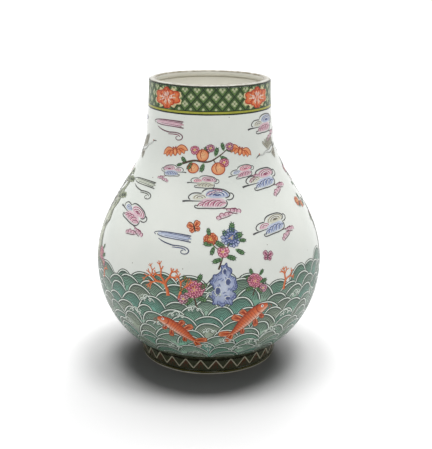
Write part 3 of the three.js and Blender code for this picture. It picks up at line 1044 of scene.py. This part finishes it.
def nest(broad, fine, x, y, wide, tall, start, end, hue, steps=3):
    """Arcs of a hue inside one another about (x, y), with reserved white between them and a deep core."""
    for i in range(steps):
        share, gap = 1 - i / steps, 1 - (i + 0.42) / steps
        ink = mix(*HUES[hue][1:], 0.55 + 0.45 * i / steps)
        fine.stroke(arc(x, y, wide * share, tall * share, start, end), ink, 1.05, blunt=0.5)
        broad.stroke(arc(x, y, wide * gap, tall * gap, start + 12, end - 12), RESERVED, 0.9, RESERVED_LIFT)


def cloud(broad, fine, left, top, bottom):
    """A scrolling cloud: a lobe to the left, a long one over it, a row of arcs below, a curl, a point and a
    pink tail of two scored ribbons."""
    for hue, full, thin, rings, shape in (
        (bottom, 0.75, 0.15, 4, [
            (-13.5, -5), (-11, -1.6), (-6, 0.9), (3, 1.3), (11, 0.6), (14.3, -2.6), (12.8, -6.6), (8, -8),
            (-1, -8.2), (-9, -7.8),
        ]),
        (left, 0.9, 0.1, 3, [
            (-19.8, 0.4), (-18.8, 3.4), (-14.6, 5), (-8.6, 4.6), (-5.5, 2.6), (-9, 0.4), (-15, -0.8),
        ]),
        (top, 0.9, 0.2, 4, [
            (-6.4, 6), (-3, 9.4), (5.6, 10.2), (13.6, 8.8), (18.2, 5.2), (17, 2.6), (9, 1.6), (1, 1.6),
            (-4.5, 3.2),
        ]),
    ):
        pale, middle, _ = HUES[hue]
        broad.wash(shape, mix(pale, middle, full), mix(pale, middle, thin), rings=rings)
    nest(broad, fine, 5.6, 4, 11.2, 5.4, -12, 186, top)
    for x in (-8.4, -3.4, 1.8, 7, 11.6):
        tall = 7.6 - 0.028 * (x - 2) ** 2
        fine.stroke(arc(x, -8.4, 6, tall, 62, 172), HUES[bottom][2], 1.0, blunt=0.5)
        fine.stroke(arc(x + 1.7, -8.4, 5.4, tall * 0.84, 70, 170), HUES[bottom][1], 0.95)
        broad.stroke(arc(x + 0.9, -8.4, 5.7, tall * 0.92, 68, 170), RESERVED, 0.7, RESERVED_LIFT)
    nest(broad, fine, -12.4, 1.2, 6, 3.2, 4, 196, left, steps=2)
    fine.stroke([(3.4, 4.3, 1.2), (5.4, 4.7, 2.2), (8, 4.2, 1.1)], HUES[top][2])
    for width, line in (
        (1.15, [(-22.2, -1), (-24.4, 1.2), (-23.4, 3.8), (-20, 6.1), (-15.4, 6.6), (-10.6, 6.3)]),
        (1.25, [(-10.6, 7.2), (-7.4, 10.2), (-2, 11.6), (5.6, 11.5), (13.2, 10.1), (18, 7.2), (19.4, 4.6),
                (17.6, 2.2), (14.4, 1.3)]),
        (1.1, [(18.4, 6.1), (21.6, 6), (23.4, 3.2), (21.8, 0.2), (18.4, -1), (15.6, -0.6)]),
        (1.15, [(14.6, -1.2), (15.8, -4), (14.5, -7.2), (11.6, -9.2), (4, -9.9), (-5, -9.6), (-14.6, -9.7),
                (-17, -8), (-16, -6.5), (-13.4, -7.2)]),
    ):
        fine.stroke(line, CLOUD_LINE, width, blunt=0.6)
    pale, middle, deep = HUES["pink"]
    tail_line = mix(CLOUD_LINE, deep, 0.5)
    fine.stroke([(-30, -3.2, 2.0), (-25.5, -2.4, 1.6), (-19, -2.2, 1.0), (-9, -2, 0.6)], CLOUD_LINE)
    fine.stroke([(9, -9.8), (15, -10.4), (21, -10.6), (26, -11.8)], tail_line, 0.9)
    for way, ribbon in (
        (1, [(15, -11.6, 1.2), (20, -12.4, 3.4), (25, -13.2, 4.0), (28.4, -15, 1.4)]),
        (-1, [(19, -15.6, 1.2), (14, -16.4, 3.4), (9, -17.6, 3.8), (4.6, -21.4, 1.4)]),
    ):
        broad.stroke(ribbon, mix(pale, middle, 0.5), across=5, edge=pale)
        run = run_through(ribbon)
        for k in np.linspace(0.1, 0.82, 4):
            x, y, width = run[int(k * len(run))]
            fine.stroke(arc(0, 0, 2.1, width * 0.55 + 0.5, 215, -65) * (way, 1) + (x, y), deep, 0.85)
        fine.stroke([(x, y - 0.7 * width - 0.5) for x, y, width in run[::4]], tail_line, 0.8)


def wisp(broad, fine, hue):
    """A long flat cloud: brushed lines one over another, streaked with its hue, and a trailing curl."""
    pale, middle, deep = HUES[hue]
    dark = mix(CLOUD_LINE, deep, 0.5)
    body = [(18, 4.2, 4), (6, 4.6, 5.2), (-6, 4.6, 4.6), (-16, 4.2, 2.4)]
    broad.stroke(body, mix(pale, middle, 0.25), across=5, edge=pale)
    for ink, line in (
        (dark, [(21, 7.2, 1.2), (12, 7.6, 1.2), (0, 7.6, 1.0), (-10, 7, 0.9), (-17, 5.9, 0.8),
                (-20.6, 4.1, 0.8), (-18.6, 2.4, 0.6)]),
        (deep, [(20, 5.8, 0.9), (8, 6.2, 0.9), (-4, 6.3, 0.8), (-13, 5.5, 0.5)]),
        (middle, [(21.5, 4.2, 1.0), (8, 4.8, 1.0), (-6, 4.9, 0.8), (-14.5, 4.2, 0.5)]),
        (deep, [(19, 2.7, 0.9), (6, 3.4, 0.8), (-8, 3.5, 0.7)]),
        (dark, [(21.5, 0.9, 1.1), (10, 1.6, 1.0), (0, 1.6, 0.8), (-8, 1.6, 0.8), (-14, 2.2, 0.7),
                (-17, 3.4, 0.6)]),
        (dark, [(-14, -0.8, 0.6), (-7, -3.2, 1.1), (3, -4.8, 1.2), (10, -4.4, 1.0), (16.6, -5, 1.0),
                (20.6, -7.8, 1.1), (19, -11.2, 1.0), (14.4, -11.9, 0.8), (12.6, -9.5, 0.8), (15, -8, 0.6)]),
        (deep, [(3, -6.8, 0.6), (10, -6.3, 0.9), (15.4, -6.7, 0.9), (17.6, -8.4, 0.7)]),
    ):
        fine.stroke(line, ink)


CLOUD_LAYERS = ("cloud_wash", "cloud_lines")
paint_motifs(
    cloud, CLOUD_LAYERS,
    ((1.6, 207), "cream", "blue", "pink"),
    ((43.5, 221, 0.98, 4), "cream", "pink", "blue"),
    ((-49.5, 184, 0.95, -14), "blue", "pink", "pink"),
    ((38, 178.5, 0.92, 8), "pink", "cream", "blue"),
    ((58, 275.5, 0.9), "cream", "blue", "pink"),
    ((118, 196, 1.0, 6, -1), "pink", "blue", "cream"),
    ((150, 238, 0.95), "cream", "pink", "blue"),
    ((171, 190, 0.62, -8), "blue", "pink", "cream"),
    ((-158, 212, 0.98, 5, -1), "cream", "blue", "pink"),
    ((-126, 270, 0.9), "pink", "cream", "blue"),
    ((-121, 212, 0.95, -5), "blue", "pink", "pink"),
    ((120, 274, 0.85, 0, -1), "blue", "pink", "pink"),
    ((-30, 231, 0.56, 6, -1), "pink", "pink", "blue"),
    ((-3, 222.5, 0.62, -3), "rose", "pink", "cream"),
    ((27, 231, 0.6, 8), "blue", "rose", "pink"),
)
paint_motifs(
    wisp, CLOUD_LAYERS,
    ((-41, 274.5), "pink"), ((-54, 211), "grey"), ((-20, 168, 1.0, -4), "blue"), ((90, 262, 0.7), "grey"),
    ((112, 160, 1.0, -6, -1), "pink"), ((141, 211, 0.9, 4), "blue"), ((-166, 268), "pink"),
    ((168, 169, 0.7, -5, -1), "grey"), ((-90, 273, 0.85, 5, -1), "blue"), ((-151, 160, 0.9), "blue"),
)
paint_pieces(CLOUD_LAYERS, enamel("cloud_enamel", 0.88, 1.06, 380.0))


# Foam
# White crests that break over the waves in curls, with drops thrown off them. The white enamel is laid
# thick, and each curl has a thin dark line on its underside.
FOAM_SHADE = srgb(112, 122, 112)
FOAM_LAYER = "foam_curls"
# A curl's back rises and rolls over into a spiral, as (x, y, width) for a curl of size 1.
CURL = np.array([
    (-2.6, -1.1, 0.5), (-1.6, 0.1, 0.9), (-0.4, 0.9, 1), (0.7, 0.6, 1), (1.05, -0.35, 0.9), (0.4, -0.95, 0.8),
    (-0.25, -0.45, 0.7), (0.15, 0, 0.5),
])


def foam(broad, fine, size, way):
    """Three curls that roll to one way, a large one between two smaller, and three drops thrown ahead."""
    for x, y, share in ((0, 0, 1), (-2.3, -0.9, 0.7), (1.9, -1.3, 0.6)):
        for brush, ink, width, drop in ((broad, FOAM_SHADE, 1.5, 0.55), (fine, CREST_WHITE, 1.25, 0)):
            curl = CURL * (way * size * share, size * share, width) + (way * size * x, size * y - drop, 0)
            brush.stroke(curl, ink)
    for k in range(3):
        broad.dot(way * size * (1.4 + 0.7 * k), size * (0.9 - 0.5 * k), 0.75, CREST_WHITE)


FRONT_FOAM = (
    (-15, 93, 2.6, 1), (-7, 101, 2.2, -1), (-23, 79, 2.8, 1), (3, 119, 2.2, 1), (9, 60, 2.4, -1),
    (-2, 52, 2.6, 1), (15, 46, 2.4, -1), (-7, 40, 2.2, 1), (24, 54, 2.6, -1), (-31, 106, 2.6, -1),
    (34, 66, 2.8, 1), (41, 84, 2.4, -1), (-38, 88, 2.4, 1), (30, 42, 2.2, 1), (-20, 48, 2.4, -1),
    (0, 74, 2.2, -1), (47, 104, 2.4, 1), (-46, 70, 2.4, 1),
)
back_foam = (
    (turn, dice.uniform(44, 112), dice.uniform(2.1, 2.8), dice.choice([-1, 1])) for turn in range(62, 310, 9)
)
for turn, height, size, way in (*FRONT_FOAM, *back_foam):
    paint_motifs(foam, (FOAM_LAYER, FOAM_LAYER), ((turn, height), size, way))
paint_pieces((FOAM_LAYER,), crest_enamel)


# Carp
# Orange-red carp that leap from the waves, in iron-red enamel over a paler ground, with every scale
# outlined. Two swim on the front and three more round the back.
EYE_BLACK = srgb(36, 30, 28)
SCALE_PITCH = 2.3


def petal(broad, fine, x, y, length, width, angle, hue, high=False, veins=1, pale=0.5):
    """A petal, leaf or fin from its base: a wash that pales to its edge, an outline, and a fan of veins."""
    light, middle, deep = HUES[hue]
    wash_lift, line_lift = (HIGH_WASH, HIGH_LINE) if high else (LOW_WASH, LOW_LINE)
    shape = petal_outline(x, y, length, width, angle)
    broad.wash(shape, middle, mix(middle, light, pale), wash_lift, rings=max(2, round(length / 5)), fade=1.5)
    fine.stroke(shape[2:13], deep, 0.75, line_lift, blunt=0.6)
    for k in range(veins):
        fan = angle + (k - (veins - 1) / 2) * 0.5 / veins
        fine.stroke((x, y) + np.outer((0.14, 0.5, 0.84), towards(fan, length)), deep, 0.65, line_lift)


def carp(broad, fine):
    """A carp that arches its back, with its head to the right: fins, a body whose width follows its spine,
    rows of scale arcs across it, a gill, an eye, whiskers and a forked tail."""
    light, middle, deep = HUES["orange"]
    for fin in (
        (-19, -6, 15, 7.5, 2.6), (-19, -6, 13.5, 7, -2.5), (-4, 3.5, 12, 7, 2.2), (2, 5, 10, 6, 1.9),
        (7, -3, 11, 5.5, -1.9), (-8, -6, 8, 4.5, -2.0), (12, 0, 9, 4.5, -1.3),
    ):
        petal(broad, fine, *fin, "orange", veins=4)
    spine = [(-21, -6.5, 3.2), (-15, -4.6, 6), (-8, -1.8, 9.4), (0, 0.8, 11.6), (8, 2.6, 12), (15, 3.2, 10.4),
             (20.5, 2.6, 7), (23.6, 1.8, 3.4)]
    back_and_belly = (mix(light, RESERVED, 0.5), deep)
    broad.stroke(spine, middle, lift=HIGH_WASH - STROKE_RISE, across=9, edge=back_and_belly)
    run = run_through(spine)
    ahead = headings(run[:, :2])
    aside = ahead[:, ::-1] * (-1, 1)
    for i in range(3, int(len(run) * 0.72), 2):
        width = run[i, 2]
        rows = max(2, int(width / SCALE_PITCH))
        bow = math.degrees(math.atan2(ahead[i, 1], ahead[i, 0]))
        for k in range(rows):
            away = (k + 0.5 * (i // 2 % 2) + 0.25 - rows / 2) * SCALE_PITCH
            if abs(away) <= width / 2 - 0.7:
                scale = arc(*(run[i, :2] + aside[i] * away), 1.25, 1.25, bow + 110, bow + 250, 5)
                fine.stroke(scale, deep, 0.5, HIGH_LINE)
    for side in (-1, 1):
        fine.stroke((run[:, :2] + side * aside * run[:, 2:] / 2)[::4], deep, 0.75, HIGH_LINE, blunt=0.7)
    fine.stroke([(14.4, 8), (12.4, 5), (12.6, 1.4), (14.6, -1.4)], deep, 1.0, HIGH_LINE)
    broad.dot(18.4, 4.4, 1.5, RESERVED, HIGH_WASH + 0.01, sides=8)
    broad.dot(18.6, 4.4, 0.8, EYE_BLACK, HIGH_WASH + 0.02, sides=8)
    for whisker in ([(24, 1.6), (26.5, -0.6), (26, -3.6)], [(23.4, 0.6), (24, -2), (22.4, -4.4)]):
        fine.stroke(whisker, deep, 0.6, HIGH_LINE)


CARP_LAYERS = ("carp_wash", "carp_lines")
paint_motifs(
    carp, CARP_LAYERS,
    ((-15, 72, 1.06, -24, -1),), ((19, 84, 1.12, 30),), ((112, 82, 1.1, 20),), ((168, 90, 1.0, -26, -1),),
    ((-112, 78, 1.1, 24),),
)
carp_paint = enamel("carp_enamel", 0.84, 1.08, 300.0)
paint_pieces(CARP_LAYERS, carp_paint)


# Coral
# Branches of orange-red coral that stand up out of the sea, painted in one stroke for each branch with
# a dark edge, and dotted with pale polyps.
growth = np.random.default_rng(5)


def coral(broad, fine, angle, length, width, root=(0, 0)):
    """A branch that bends a little and splits into two or three shorter and thinner ones."""
    light, middle, deep = HUES["orange"]
    turn_by = growth.uniform(-0.35, 0.35)
    joint = root + towards(angle, length / 2)
    tip = joint + towards(angle + turn_by, length / 2)
    branch = [(*root, width), (*joint, width * 0.85), (*tip, width * 0.8)]
    edges = (deep, mix(middle, light, 0.4))
    broad.stroke(branch, middle, lift=HIGH_WASH - STROKE_RISE / 2, across=5, edge=edges)
    fine.dot(*joint, 0.5, light, HIGH_LINE)
    if length >= 4.5:
        for bend in (-0.62, 0.55) if growth.random() < 0.55 else (-0.8, 0.05, 0.75):
            way = angle + turn_by + bend + growth.uniform(-0.15, 0.15)
            coral(broad, fine, way, length * growth.uniform(0.62, 0.8), width * 0.74, tip)


CORAL_LAYERS = ("coral_branches", "coral_dots")
paint_motifs(
    coral, CORAL_LAYERS,
    ((-19, 112), 1.75, 13, 4.0), ((-14, 110), 1.25, 10, 3.2), ((38, 112), 1.4, 10, 3.2),
    ((98, 118), 1.5, 12, 3.6), ((158, 118), 1.7, 13, 3.8), ((-160, 116), 1.4, 11, 3.4),
    ((-102, 112), 1.6, 12, 3.6), ((-64, 108), 1.5, 9, 3.0),
)
paint_pieces(CORAL_LAYERS, carp_paint)


# Rocks
# Pierced garden rocks in blue and olive washes, outlined and hatched along their faces. The tall
# olive crags at the sides carry pines.
# Each kind has its pale, middle and deep tones, its outline, and its holes: their middles, half widths
# and half heights.
PIERCED_ROCK = (
    (srgb(206, 214, 230), srgb(132, 146, 188), srgb(70, 80, 122)),
    [(-12, -26), (-17, -15), (-12, -6), (-18, 3), (-14, 12), (-7, 15), (-5, 24), (2, 28), (8, 21), (7, 13),
     (14, 9), (17, -1), (11, -8), (16, -16), (12, -26), (0, -29)],
    ((-7, -8, 3.2, 4.6), (5, 4, 3, 4), (0, 17, 2.2, 3.4), (6, -17, 3, 2.4)),
)
CRAG = (
    (srgb(196, 200, 176), srgb(128, 136, 104), srgb(66, 70, 54)),
    [(-14, -52), (-18, -34), (-12, -20), (-17, -6), (-9, 8), (-12, 22), (-5, 36), (-3, 50), (3, 54), (5, 40),
     (10, 28), (8, 14), (15, 2), (12, -14), (19, -30), (16, -50), (2, -56)],
    ((-5, -30, 3, 6), (4, -8, 2.6, 5), (0, 18, 2, 5)),
)
chips = np.random.default_rng(9)


def rock(broad, fine, kind):
    """A rock from its outline, with a dent or a bump between each two points: a wash, short strokes in from
    the edge, broken hatching that repeats the outline further in, and dark holes."""
    (light, middle, deep), corners, holes = kind
    corners = np.array(corners, float)
    along = np.roll(corners, -1, 0) - corners
    dents = along[:, ::-1] * (1, -1) * chips.uniform(-0.24, 0.26, (len(corners), 1))
    shape = np.stack([corners, corners + along / 2 + dents], 1).reshape(-1, 2)
    centre = shape.mean(0)
    broad.wash(shape, light, middle, rings=round(np.ptp(shape, axis=0).max() / 4), fade=1.6)
    fine.stroke(shape, deep, 1.1, closed=True)
    run = run_through(shape, closed=True)
    for k in range(0, len(run) - 2, 3):
        inward = (centre - run[k]) * chips.uniform(0.1, 0.24)
        slant = (run[k + 2] - run[k]) * chips.uniform(0.3, 1.1)
        fine.stroke([run[k], run[k] + inward * 0.5 + slant * 0.7, run[k] + inward + slant], deep, 0.75)
    for i, share in enumerate((0.86, 0.72, 0.56, 0.38)):
        inner = mix(centre, run, share)
        for start in range(3 + 5 * i, len(inner) - 14, 19):
            fine.stroke(inner[start:start + 12:3], deep, 0.85)
            fine.stroke(mix(centre, inner[start + 2:start + 13:3], 0.96), middle, 1.6)
    for x, y, wide, tall in holes:
        broad.wash(arc(x, y, wide, tall, 0, 330, 9), deep, mix(deep, middle, 0.3), HIGH_WASH, rings=2)
        fine.stroke(arc(x, y, wide * 1.15, tall * 1.15, 20, 250), RESERVED, 0.8, HIGH_LINE)


ROCK_LAYERS = ("rock_wash", "rock_lines")
paint_motifs(
    rock, ROCK_LAYERS,
    ((7, 126, 0.82, -4), PIERCED_ROCK),
    ((150, 138, 0.9, 5), PIERCED_ROCK),
    ((-128, 132, 0.85, 0, -1), PIERCED_ROCK),
    ((-79.5, 168, 1.0, -9), CRAG),
    ((-92, 140, 0.7, 6, -1), CRAG),
    ((86, 142, 0.62, 4, -1), CRAG),
    ((-178, 145, 0.7, -5), CRAG),
)
rock_paint = enamel("rock_enamel", 0.8, 1.1, 260.0)
paint_pieces(ROCK_LAYERS, rock_paint)


# Flowers
# Peonies, chrysanthemums and blossoms on dark twigs with green leaves, round the rocks and at the
# sides. Each petal is washed paler towards its edge and outlined at its tip.
TWIG = srgb(84, 66, 50)
TWIG_DARK = srgb(48, 40, 36)
POLLEN = srgb(226, 190, 96)
POLLEN_LIFT = 0.32
PEACH_ROUND = np.array([
    (0, 0.95), (0.55, 0.75), (0.95, 0.2), (0.85, -0.45), (0.35, -0.85), (-0.35, -0.85), (-0.85, -0.45),
    (-0.95, 0.2), (-0.55, 0.75),
])
PEACH_CLEFT = np.array([(0, 1), (-0.35, 0.2), (-0.2, -0.6)])
# Each ring of petals: reach and width as shares of the flower's reach, count, whether it lies on top,
# the angle it starts from, veins, and how far it pales.
FLOWER_KINDS = {
    "peony": ((1, 0.72, 9, False, 0.2, 2, 0.85), (0.64, 0.5, 7, True, 0.5, 1, 0.6)),
    "chrysanthemum": ((1, 0.3, 17, False, 0.1, 0, 0.85), (0.62, 0.24, 12, True, 0.3, 0, 0.5)),
    "blossom": ((1, 0.95, 5, True, 0.3, 1, 1.0),),
}


def flower(broad, fine, x, y, reach, kind, hue):
    """Rings of petals round (x, y), a little flattened, as a flower is seen from above, and its pollen."""
    for share, width, count, high, start, veins, pale in FLOWER_KINDS[kind]:
        for i in range(count):
            angle = start + 2 * math.pi * i / count
            length = reach * share * (1 - 0.15 * abs(math.sin(angle)))
            length *= 1 + 0.07 * math.sin(5 * i + reach * share)
            petal(broad, fine, x, y, length, reach * width, angle, hue, high, veins, pale)
    for i in range(7 if kind == "peony" else 5):
        fine.dot(*((x, y) + towards(2.4 * i, reach * 0.055 * i)), 0.8, POLLEN, POLLEN_LIFT, squash=0.875)


def leaf(broad, fine, x, y, length, angle, high):
    """A leaf with a midrib and toothed edges, each tooth a short dark stroke."""
    width = length * 0.42
    petal(broad, fine, x, y, length, width, angle, "green", high, 1, 0.35)
    for along in np.linspace(0.22, 0.86, max(3, round(length / 3.2))):
        reach = width * 0.5 * math.sin(math.pi * along) ** 0.7
        root = (x, y) + towards(angle, length * along)
        for side in (-1, 1):
            slant = towards(angle, length * 0.12) + towards(angle + math.pi / 2, side * reach)
            tooth = root + np.outer((0.05, 0.6, 1.28), slant)
            fine.stroke(tooth, HUES["green"][2], 0.7, HIGH_LINE if high else LOW_LINE)


def peach(broad, fine, x, y, size):
    """A peach: a wash that warms to its tip, its cleft, and a stippled blush."""
    light, middle, deep = HUES["orange"]
    shape = (x, y) + size * PEACH_ROUND
    broad.wash(shape, light, mix(light, middle, 0.75), HIGH_WASH, fade=1.4)
    fine.stroke(shape, deep, 0.85, HIGH_LINE, closed=True)
    fine.stroke((x, y) + size * PEACH_CLEFT, deep, 0.8, HIGH_LINE)
    for i in range(12):
        across = size * 0.55 * math.cos(2.4 * i) * (i / 12) ** 0.5
        fine.dot(x + across, y + size * (0.3 + 0.35 * math.sin(2.4 * i)), 0.45, deep, HIGH_LINE)


def spray(broad, fine, stems, leaves, blooms, peaches=()):
    """One plant: its twigs, its leaves (x, y, length, angle in degrees), its blooms (x, y, reach, kind, hue)
    and its peaches (x, y, size)."""
    for stem in stems:
        broad.stroke(stem, TWIG, lift=LOW_WASH + 0.01, across=5, edge=(TWIG_DARK, TWIG))
    for i, (x, y, length, angle) in enumerate(leaves):
        leaf(broad, fine, x, y, length, math.radians(angle), i % 2 == 1)
    for bloom in blooms:
        flower(broad, fine, *bloom)
    for fruit in peaches:
        peach(broad, fine, *fruit)


GARDEN = (
    [[(-4, -16, 1.8), (2, 0, 1.5), (9, 12, 1.1), (10, 22, 0.7)], [(2, 0, 1.3), (-8, 8, 1.0), (-13, 16, 0.7)]],
    [(3, -2, 12, -20), (0, -5, 11, 200), (6, 8, 14, 40), (4, 6, 13, 150), (10, 18, 15, 75), (11, 15, 14, 20),
     (8, 14, 12, 120), (-9, 9, 11, 170), (-8, 8, 10, 250), (-13, 17, 10, 100), (14, 4, 11, -30),
     (18, 13, 9, -5)],
    [(11, 16, 12.5, "chrysanthemum", "blue"), (-12, 15, 8.5, "peony", "orange"),
     (1, 2, 7, "blossom", "rose")],
)
PEONIES = (
    [[(0, -18, 1.8), (1, -6, 1.4), (0, 4, 1.0)], [(0, -10, 1.2), (10, -2, 0.8)]],
    [(0, -6, 13, 205), (2, -7, 13, -30), (-3, 2, 12, 160), (6, 0, 12, 25), (-4, 8, 11, 120), (5, 9, 10, 60)],
    [(0, 2, 12, "peony", "rose"), (13, -7, 6.5, "blossom", "pink")],
)
BRANCH = (
    [[(16, -36, 2.4), (12, -18, 2.0), (14, 0, 1.6), (8, 16, 1.2), (4, 32, 0.8)],
     [(13, -12, 1.4), (2, -4, 1.1), (-8, -5, 0.8), (-17, -3, 0.5)], [(12, 6, 1.2), (20, 18, 0.8)]],
    [(10, -24, 10, 200), (14, -8, 10, 10), (3, -5, 9, 240), (-6, -4, 9, 100), (9, 14, 10, 170),
     (6, 24, 9, 30), (18, 16, 9, 60), (-12, -4, 8, 220)],
    [(-18, -2, 6.5, "blossom", "orange"), (-8, -8, 5, "blossom", "orange"), (4, 34, 6, "blossom", "pink"),
     (21, 20, 6.5, "blossom", "rose"), (13, -26, 6, "blossom", "pink")],
)
PEACH_BRANCH = (
    [[(-27, -4, 2.4), (-14, -1, 2.0), (0, -3, 1.7), (12, 2, 1.3), (24, 10, 0.7)],
     [(-8, -2, 1.3), (-13, 8, 0.8)], [(6, -1, 1.2), (10, -10, 0.8)], [(-2, -2, 1.0), (3, 9, 0.6)]],
    [(-22, -4, 9, 130), (-16, -2, 10, 240), (-9, 3, 9, 60), (-4, -4, 10, 250), (2, 5, 9, 120), (8, 2, 10, 70),
     (13, 2, 10, -35), (18, 7, 9, 100), (20, 8, 8, -10), (-26, -4, 7, 200), (9, -7, 9, -10)],
    [(-13, 10, 5.5, "blossom", "rose"), (25, 11, 5, "blossom", "pink"), (4, 11, 5, "blossom", "pink"),
     (17, -5, 5.5, "blossom", "rose")],
    [(-5, 4, 6.4), (10, -11, 6.8), (-15, -9, 5.6)],
)
FLOWER_LAYERS = ("flower_wash", "flower_lines")
paint_motifs(
    spray, FLOWER_LAYERS,
    ((6.5, 157), *GARDEN), ((-6.5, 119, 1.0, 8, -1), *PEONIES), ((22, 126, 0.8, -10), *PEONIES),
    ((80, 192), *BRANCH), ((150, 167, 0.95, 4, -1), *GARDEN), ((140, 126, 0.95), *PEONIES),
    ((-128, 166, 0.9, -5), *GARDEN), ((-140, 122, 0.9, 0, -1), *PEONIES), ((108, 132, 0.85, 5, -1), *PEONIES),
    ((-70, 130, 0.8), *PEONIES), ((-1.5, 245, 1.0, 4), *PEACH_BRANCH),
    ((-152, 246, 1.0, 4, -1), *PEACH_BRANCH), ((104, 232, 0.9, 4), *PEACH_BRANCH),
)
flower_paint = enamel("flower_enamel", 0.86, 1.06, 340.0)
paint_pieces(FLOWER_LAYERS, flower_paint)


# Pines
# Pines that lean out from the crags at the sides: a scored brown trunk, and fans of dark needles
# brushed over pale green.
NEEDLE_PALE = srgb(176, 184, 148)
NEEDLE_WASH = srgb(122, 138, 96)
NEEDLE_LINE = srgb(50, 62, 42)


def pine(broad, fine):
    """A leaning pine: its trunk and boughs, then fans of needles that spread over a half turn."""
    for bough in (
        [(-16, -30, 3.6), (-10, -16, 3.2), (-12, 0, 2.6), (-4, 12, 2.0), (2, 24, 1.2)],
        [(-11, -12, 2.0), (4, -8, 1.4), (14, -3, 0.8)],
        [(-11, 2, 1.8), (-22, 8, 1.2)],
        [(-3, 13, 1.4), (12, 17, 0.8)],
    ):
        broad.stroke(bough, TWIG, lift=HIGH_WASH - STROKE_RISE / 2, across=5, edge=TWIG_DARK)
    for x, y, reach in (
        (14, -3, 7), (6, -7, 7), (20, -1, 5.5), (-22, 9, 7), (-15, 6, 6), (12, 18, 7), (3, 16, 6.5),
        (2, 26, 7), (-5, 20, 6), (19, 19, 5.5), (-10, 14, 6), (-2, -5, 6),
    ):
        broad.wash(arc(x, y, reach, reach * 0.8, -15, 195, 10), NEEDLE_WASH, NEEDLE_PALE, HIGH_WASH, rings=3)
        for k in range(9):
            tip = towards(math.radians(-8 + 24.5 * k), reach) * (1, 0.85)
            fine.stroke((x, y) + np.outer((0.1, 0.6, 1.08), tip), NEEDLE_LINE, 0.8, HIGH_LINE)


PINE_LAYERS = ("pine_wash", "pine_lines")
paint_motifs(
    pine, PINE_LAYERS,
    ((-80, 196, 0.95),), ((-98, 176, 0.8, 0, -1),), ((90, 158, 0.75),), ((-168.5, 183, 0.75),),
)
paint_pieces(PINE_LAYERS, rock_paint)


# Bats and cranes
# Iron-red bats and white cranes that fly between the clouds, and butterflies over the flowers, each
# outlined and feathered with a fine brush.
WING = np.array([
    (1, 2), (5, 6), (10, 7.4), (15, 4.6), (17.6, -1), (14, -0.6), (12, -4), (9, -1.4), (6.5, -4.8), (4, -1.8),
    (1, -2.4),
])


def bat(broad, fine, hue):
    """A bat: two scalloped wings with fingers that fan from the shoulder, a round body and two ears."""
    light, middle, deep = HUES[hue]
    for side in (-1, 1):
        wing = WING * (side, 1)
        broad.wash(wing, middle, mix(middle, light, 0.7), smooth=False)
        fine.stroke(wing[:5], deep, 1.0, blunt=0.6)
        fine.stroke(wing[4:], deep, 0.7, blunt=0.6)
        for x, y in ((14, -0.6), (9, -1.4), (4, -1.8)):
            fine.stroke([(side * 1.5, 2), (side * x * 0.6, y * 0.3 + 3.4), (side * x, y)], deep, 0.7)
        fine.stroke([(side * 0.8, 4.4), (side * 2.2, 7.2), (side * 2.4, 4)], deep, 0.9, HIGH_LINE)
    body = arc(0, 0.4, 2.5, 5, 0, 330, 10)
    broad.wash(body, light, middle, HIGH_WASH, rings=2)
    fine.stroke(body, deep, 0.7, HIGH_LINE, closed=True)
    for x in (-0.9, 0.9):
        fine.dot(x, 3.2, 0.5, EYE_BLACK, HIGH_LINE + 0.03)


def butterfly(broad, fine, hue):
    """A butterfly: four veined wings, a dark body and two feelers."""
    for length, width, angle in ((9, 7, 0.75), (9, 7, 2.4), (6.4, 5.4, -0.6), (6.4, 5.4, 3.74)):
        petal(broad, fine, 0, 0, length, width, angle, hue, False, 3, 0.8)
    fine.stroke([(0, -4.5, 0.8), (0, 0, 1.6), (0, 3.2, 1.0)], EYE_BLACK, lift=HIGH_LINE)
    for side in (-1, 1):
        fine.stroke([(0, 3), (side * 1.6, 6), (side * 4, 7.4)], EYE_BLACK, 0.6, HIGH_LINE)


def crane(broad, fine):
    """A flying crane: long neck and legs, wings of lapped white feathers with dark tips, and a red crown."""
    for x, y, length, degrees, hue in (
        *((2 - 1.8 * k, 2, 19 - 1.3 * k, 62 + 12 * k, "cream") for k in range(7)),
        *((-1 - 1.4 * k, -2, 13 - k, 250 - 11 * k, "cream") for k in range(5)),
        *((-9, 0, 8, 170 + 12 * k, "grey") for k in range(-1, 3)),
    ):
        petal(broad, fine, x, y, length, 3.2, math.radians(degrees), hue, pale=1.0)
    body = [(-10, 0, 3), (-4, 0.4, 6), (3, 1, 5), (10, 4, 2.2), (18, 4.4, 1.5), (24, 7, 1.8)]
    broad.stroke(body, RESERVED, lift=HIGH_WASH, across=5, edge=HUES["grey"][2])
    fine.stroke([(24, 7.2, 1.4), (28, 7, 0.9), (31, 6.2, 0.5)], EYE_BLACK, lift=HIGH_LINE)
    fine.stroke([(-10, -0.6), (-18, -2.6), (-25, -3.4)], EYE_BLACK, 0.9, HIGH_LINE)
    fine.wash(arc(23.6, 8, 1.3, 0.9, 0, 300, 6), *HUES["orange"][1:], HIGH_LINE, rings=1)


FLIER_LAYERS = ("flier_wash", "flier_lines")
paint_motifs(
    bat, FLIER_LAYERS,
    ((-30, 250, 0.85, 14), "orange"), ((26.5, 251, 0.8, -18), "orange"), ((152, 265, 0.85, 10), "orange"),
    ((-97, 218, 0.8, -12), "orange"), ((175, 251, 0.6, 6), "rose"),
)
paint_motifs(
    butterfly, FLIER_LAYERS,
    ((-8, 181, 1.0, 18), "orange"), ((30, 150, 0.85, -15), "pink"), ((128, 158, 0.95, 12), "blue"),
    ((-150, 183, 0.9, -10), "orange"),
)
paint_motifs(
    crane, FLIER_LAYERS,
    ((64, 246, 0.9, 20, -1),), ((-72, 246, 0.85, 15),), ((169, 213, 0.95, 10),), ((-112, 236, 0.85, 8, -1),),
)
paint_pieces(FLIER_LAYERS, flower_paint)
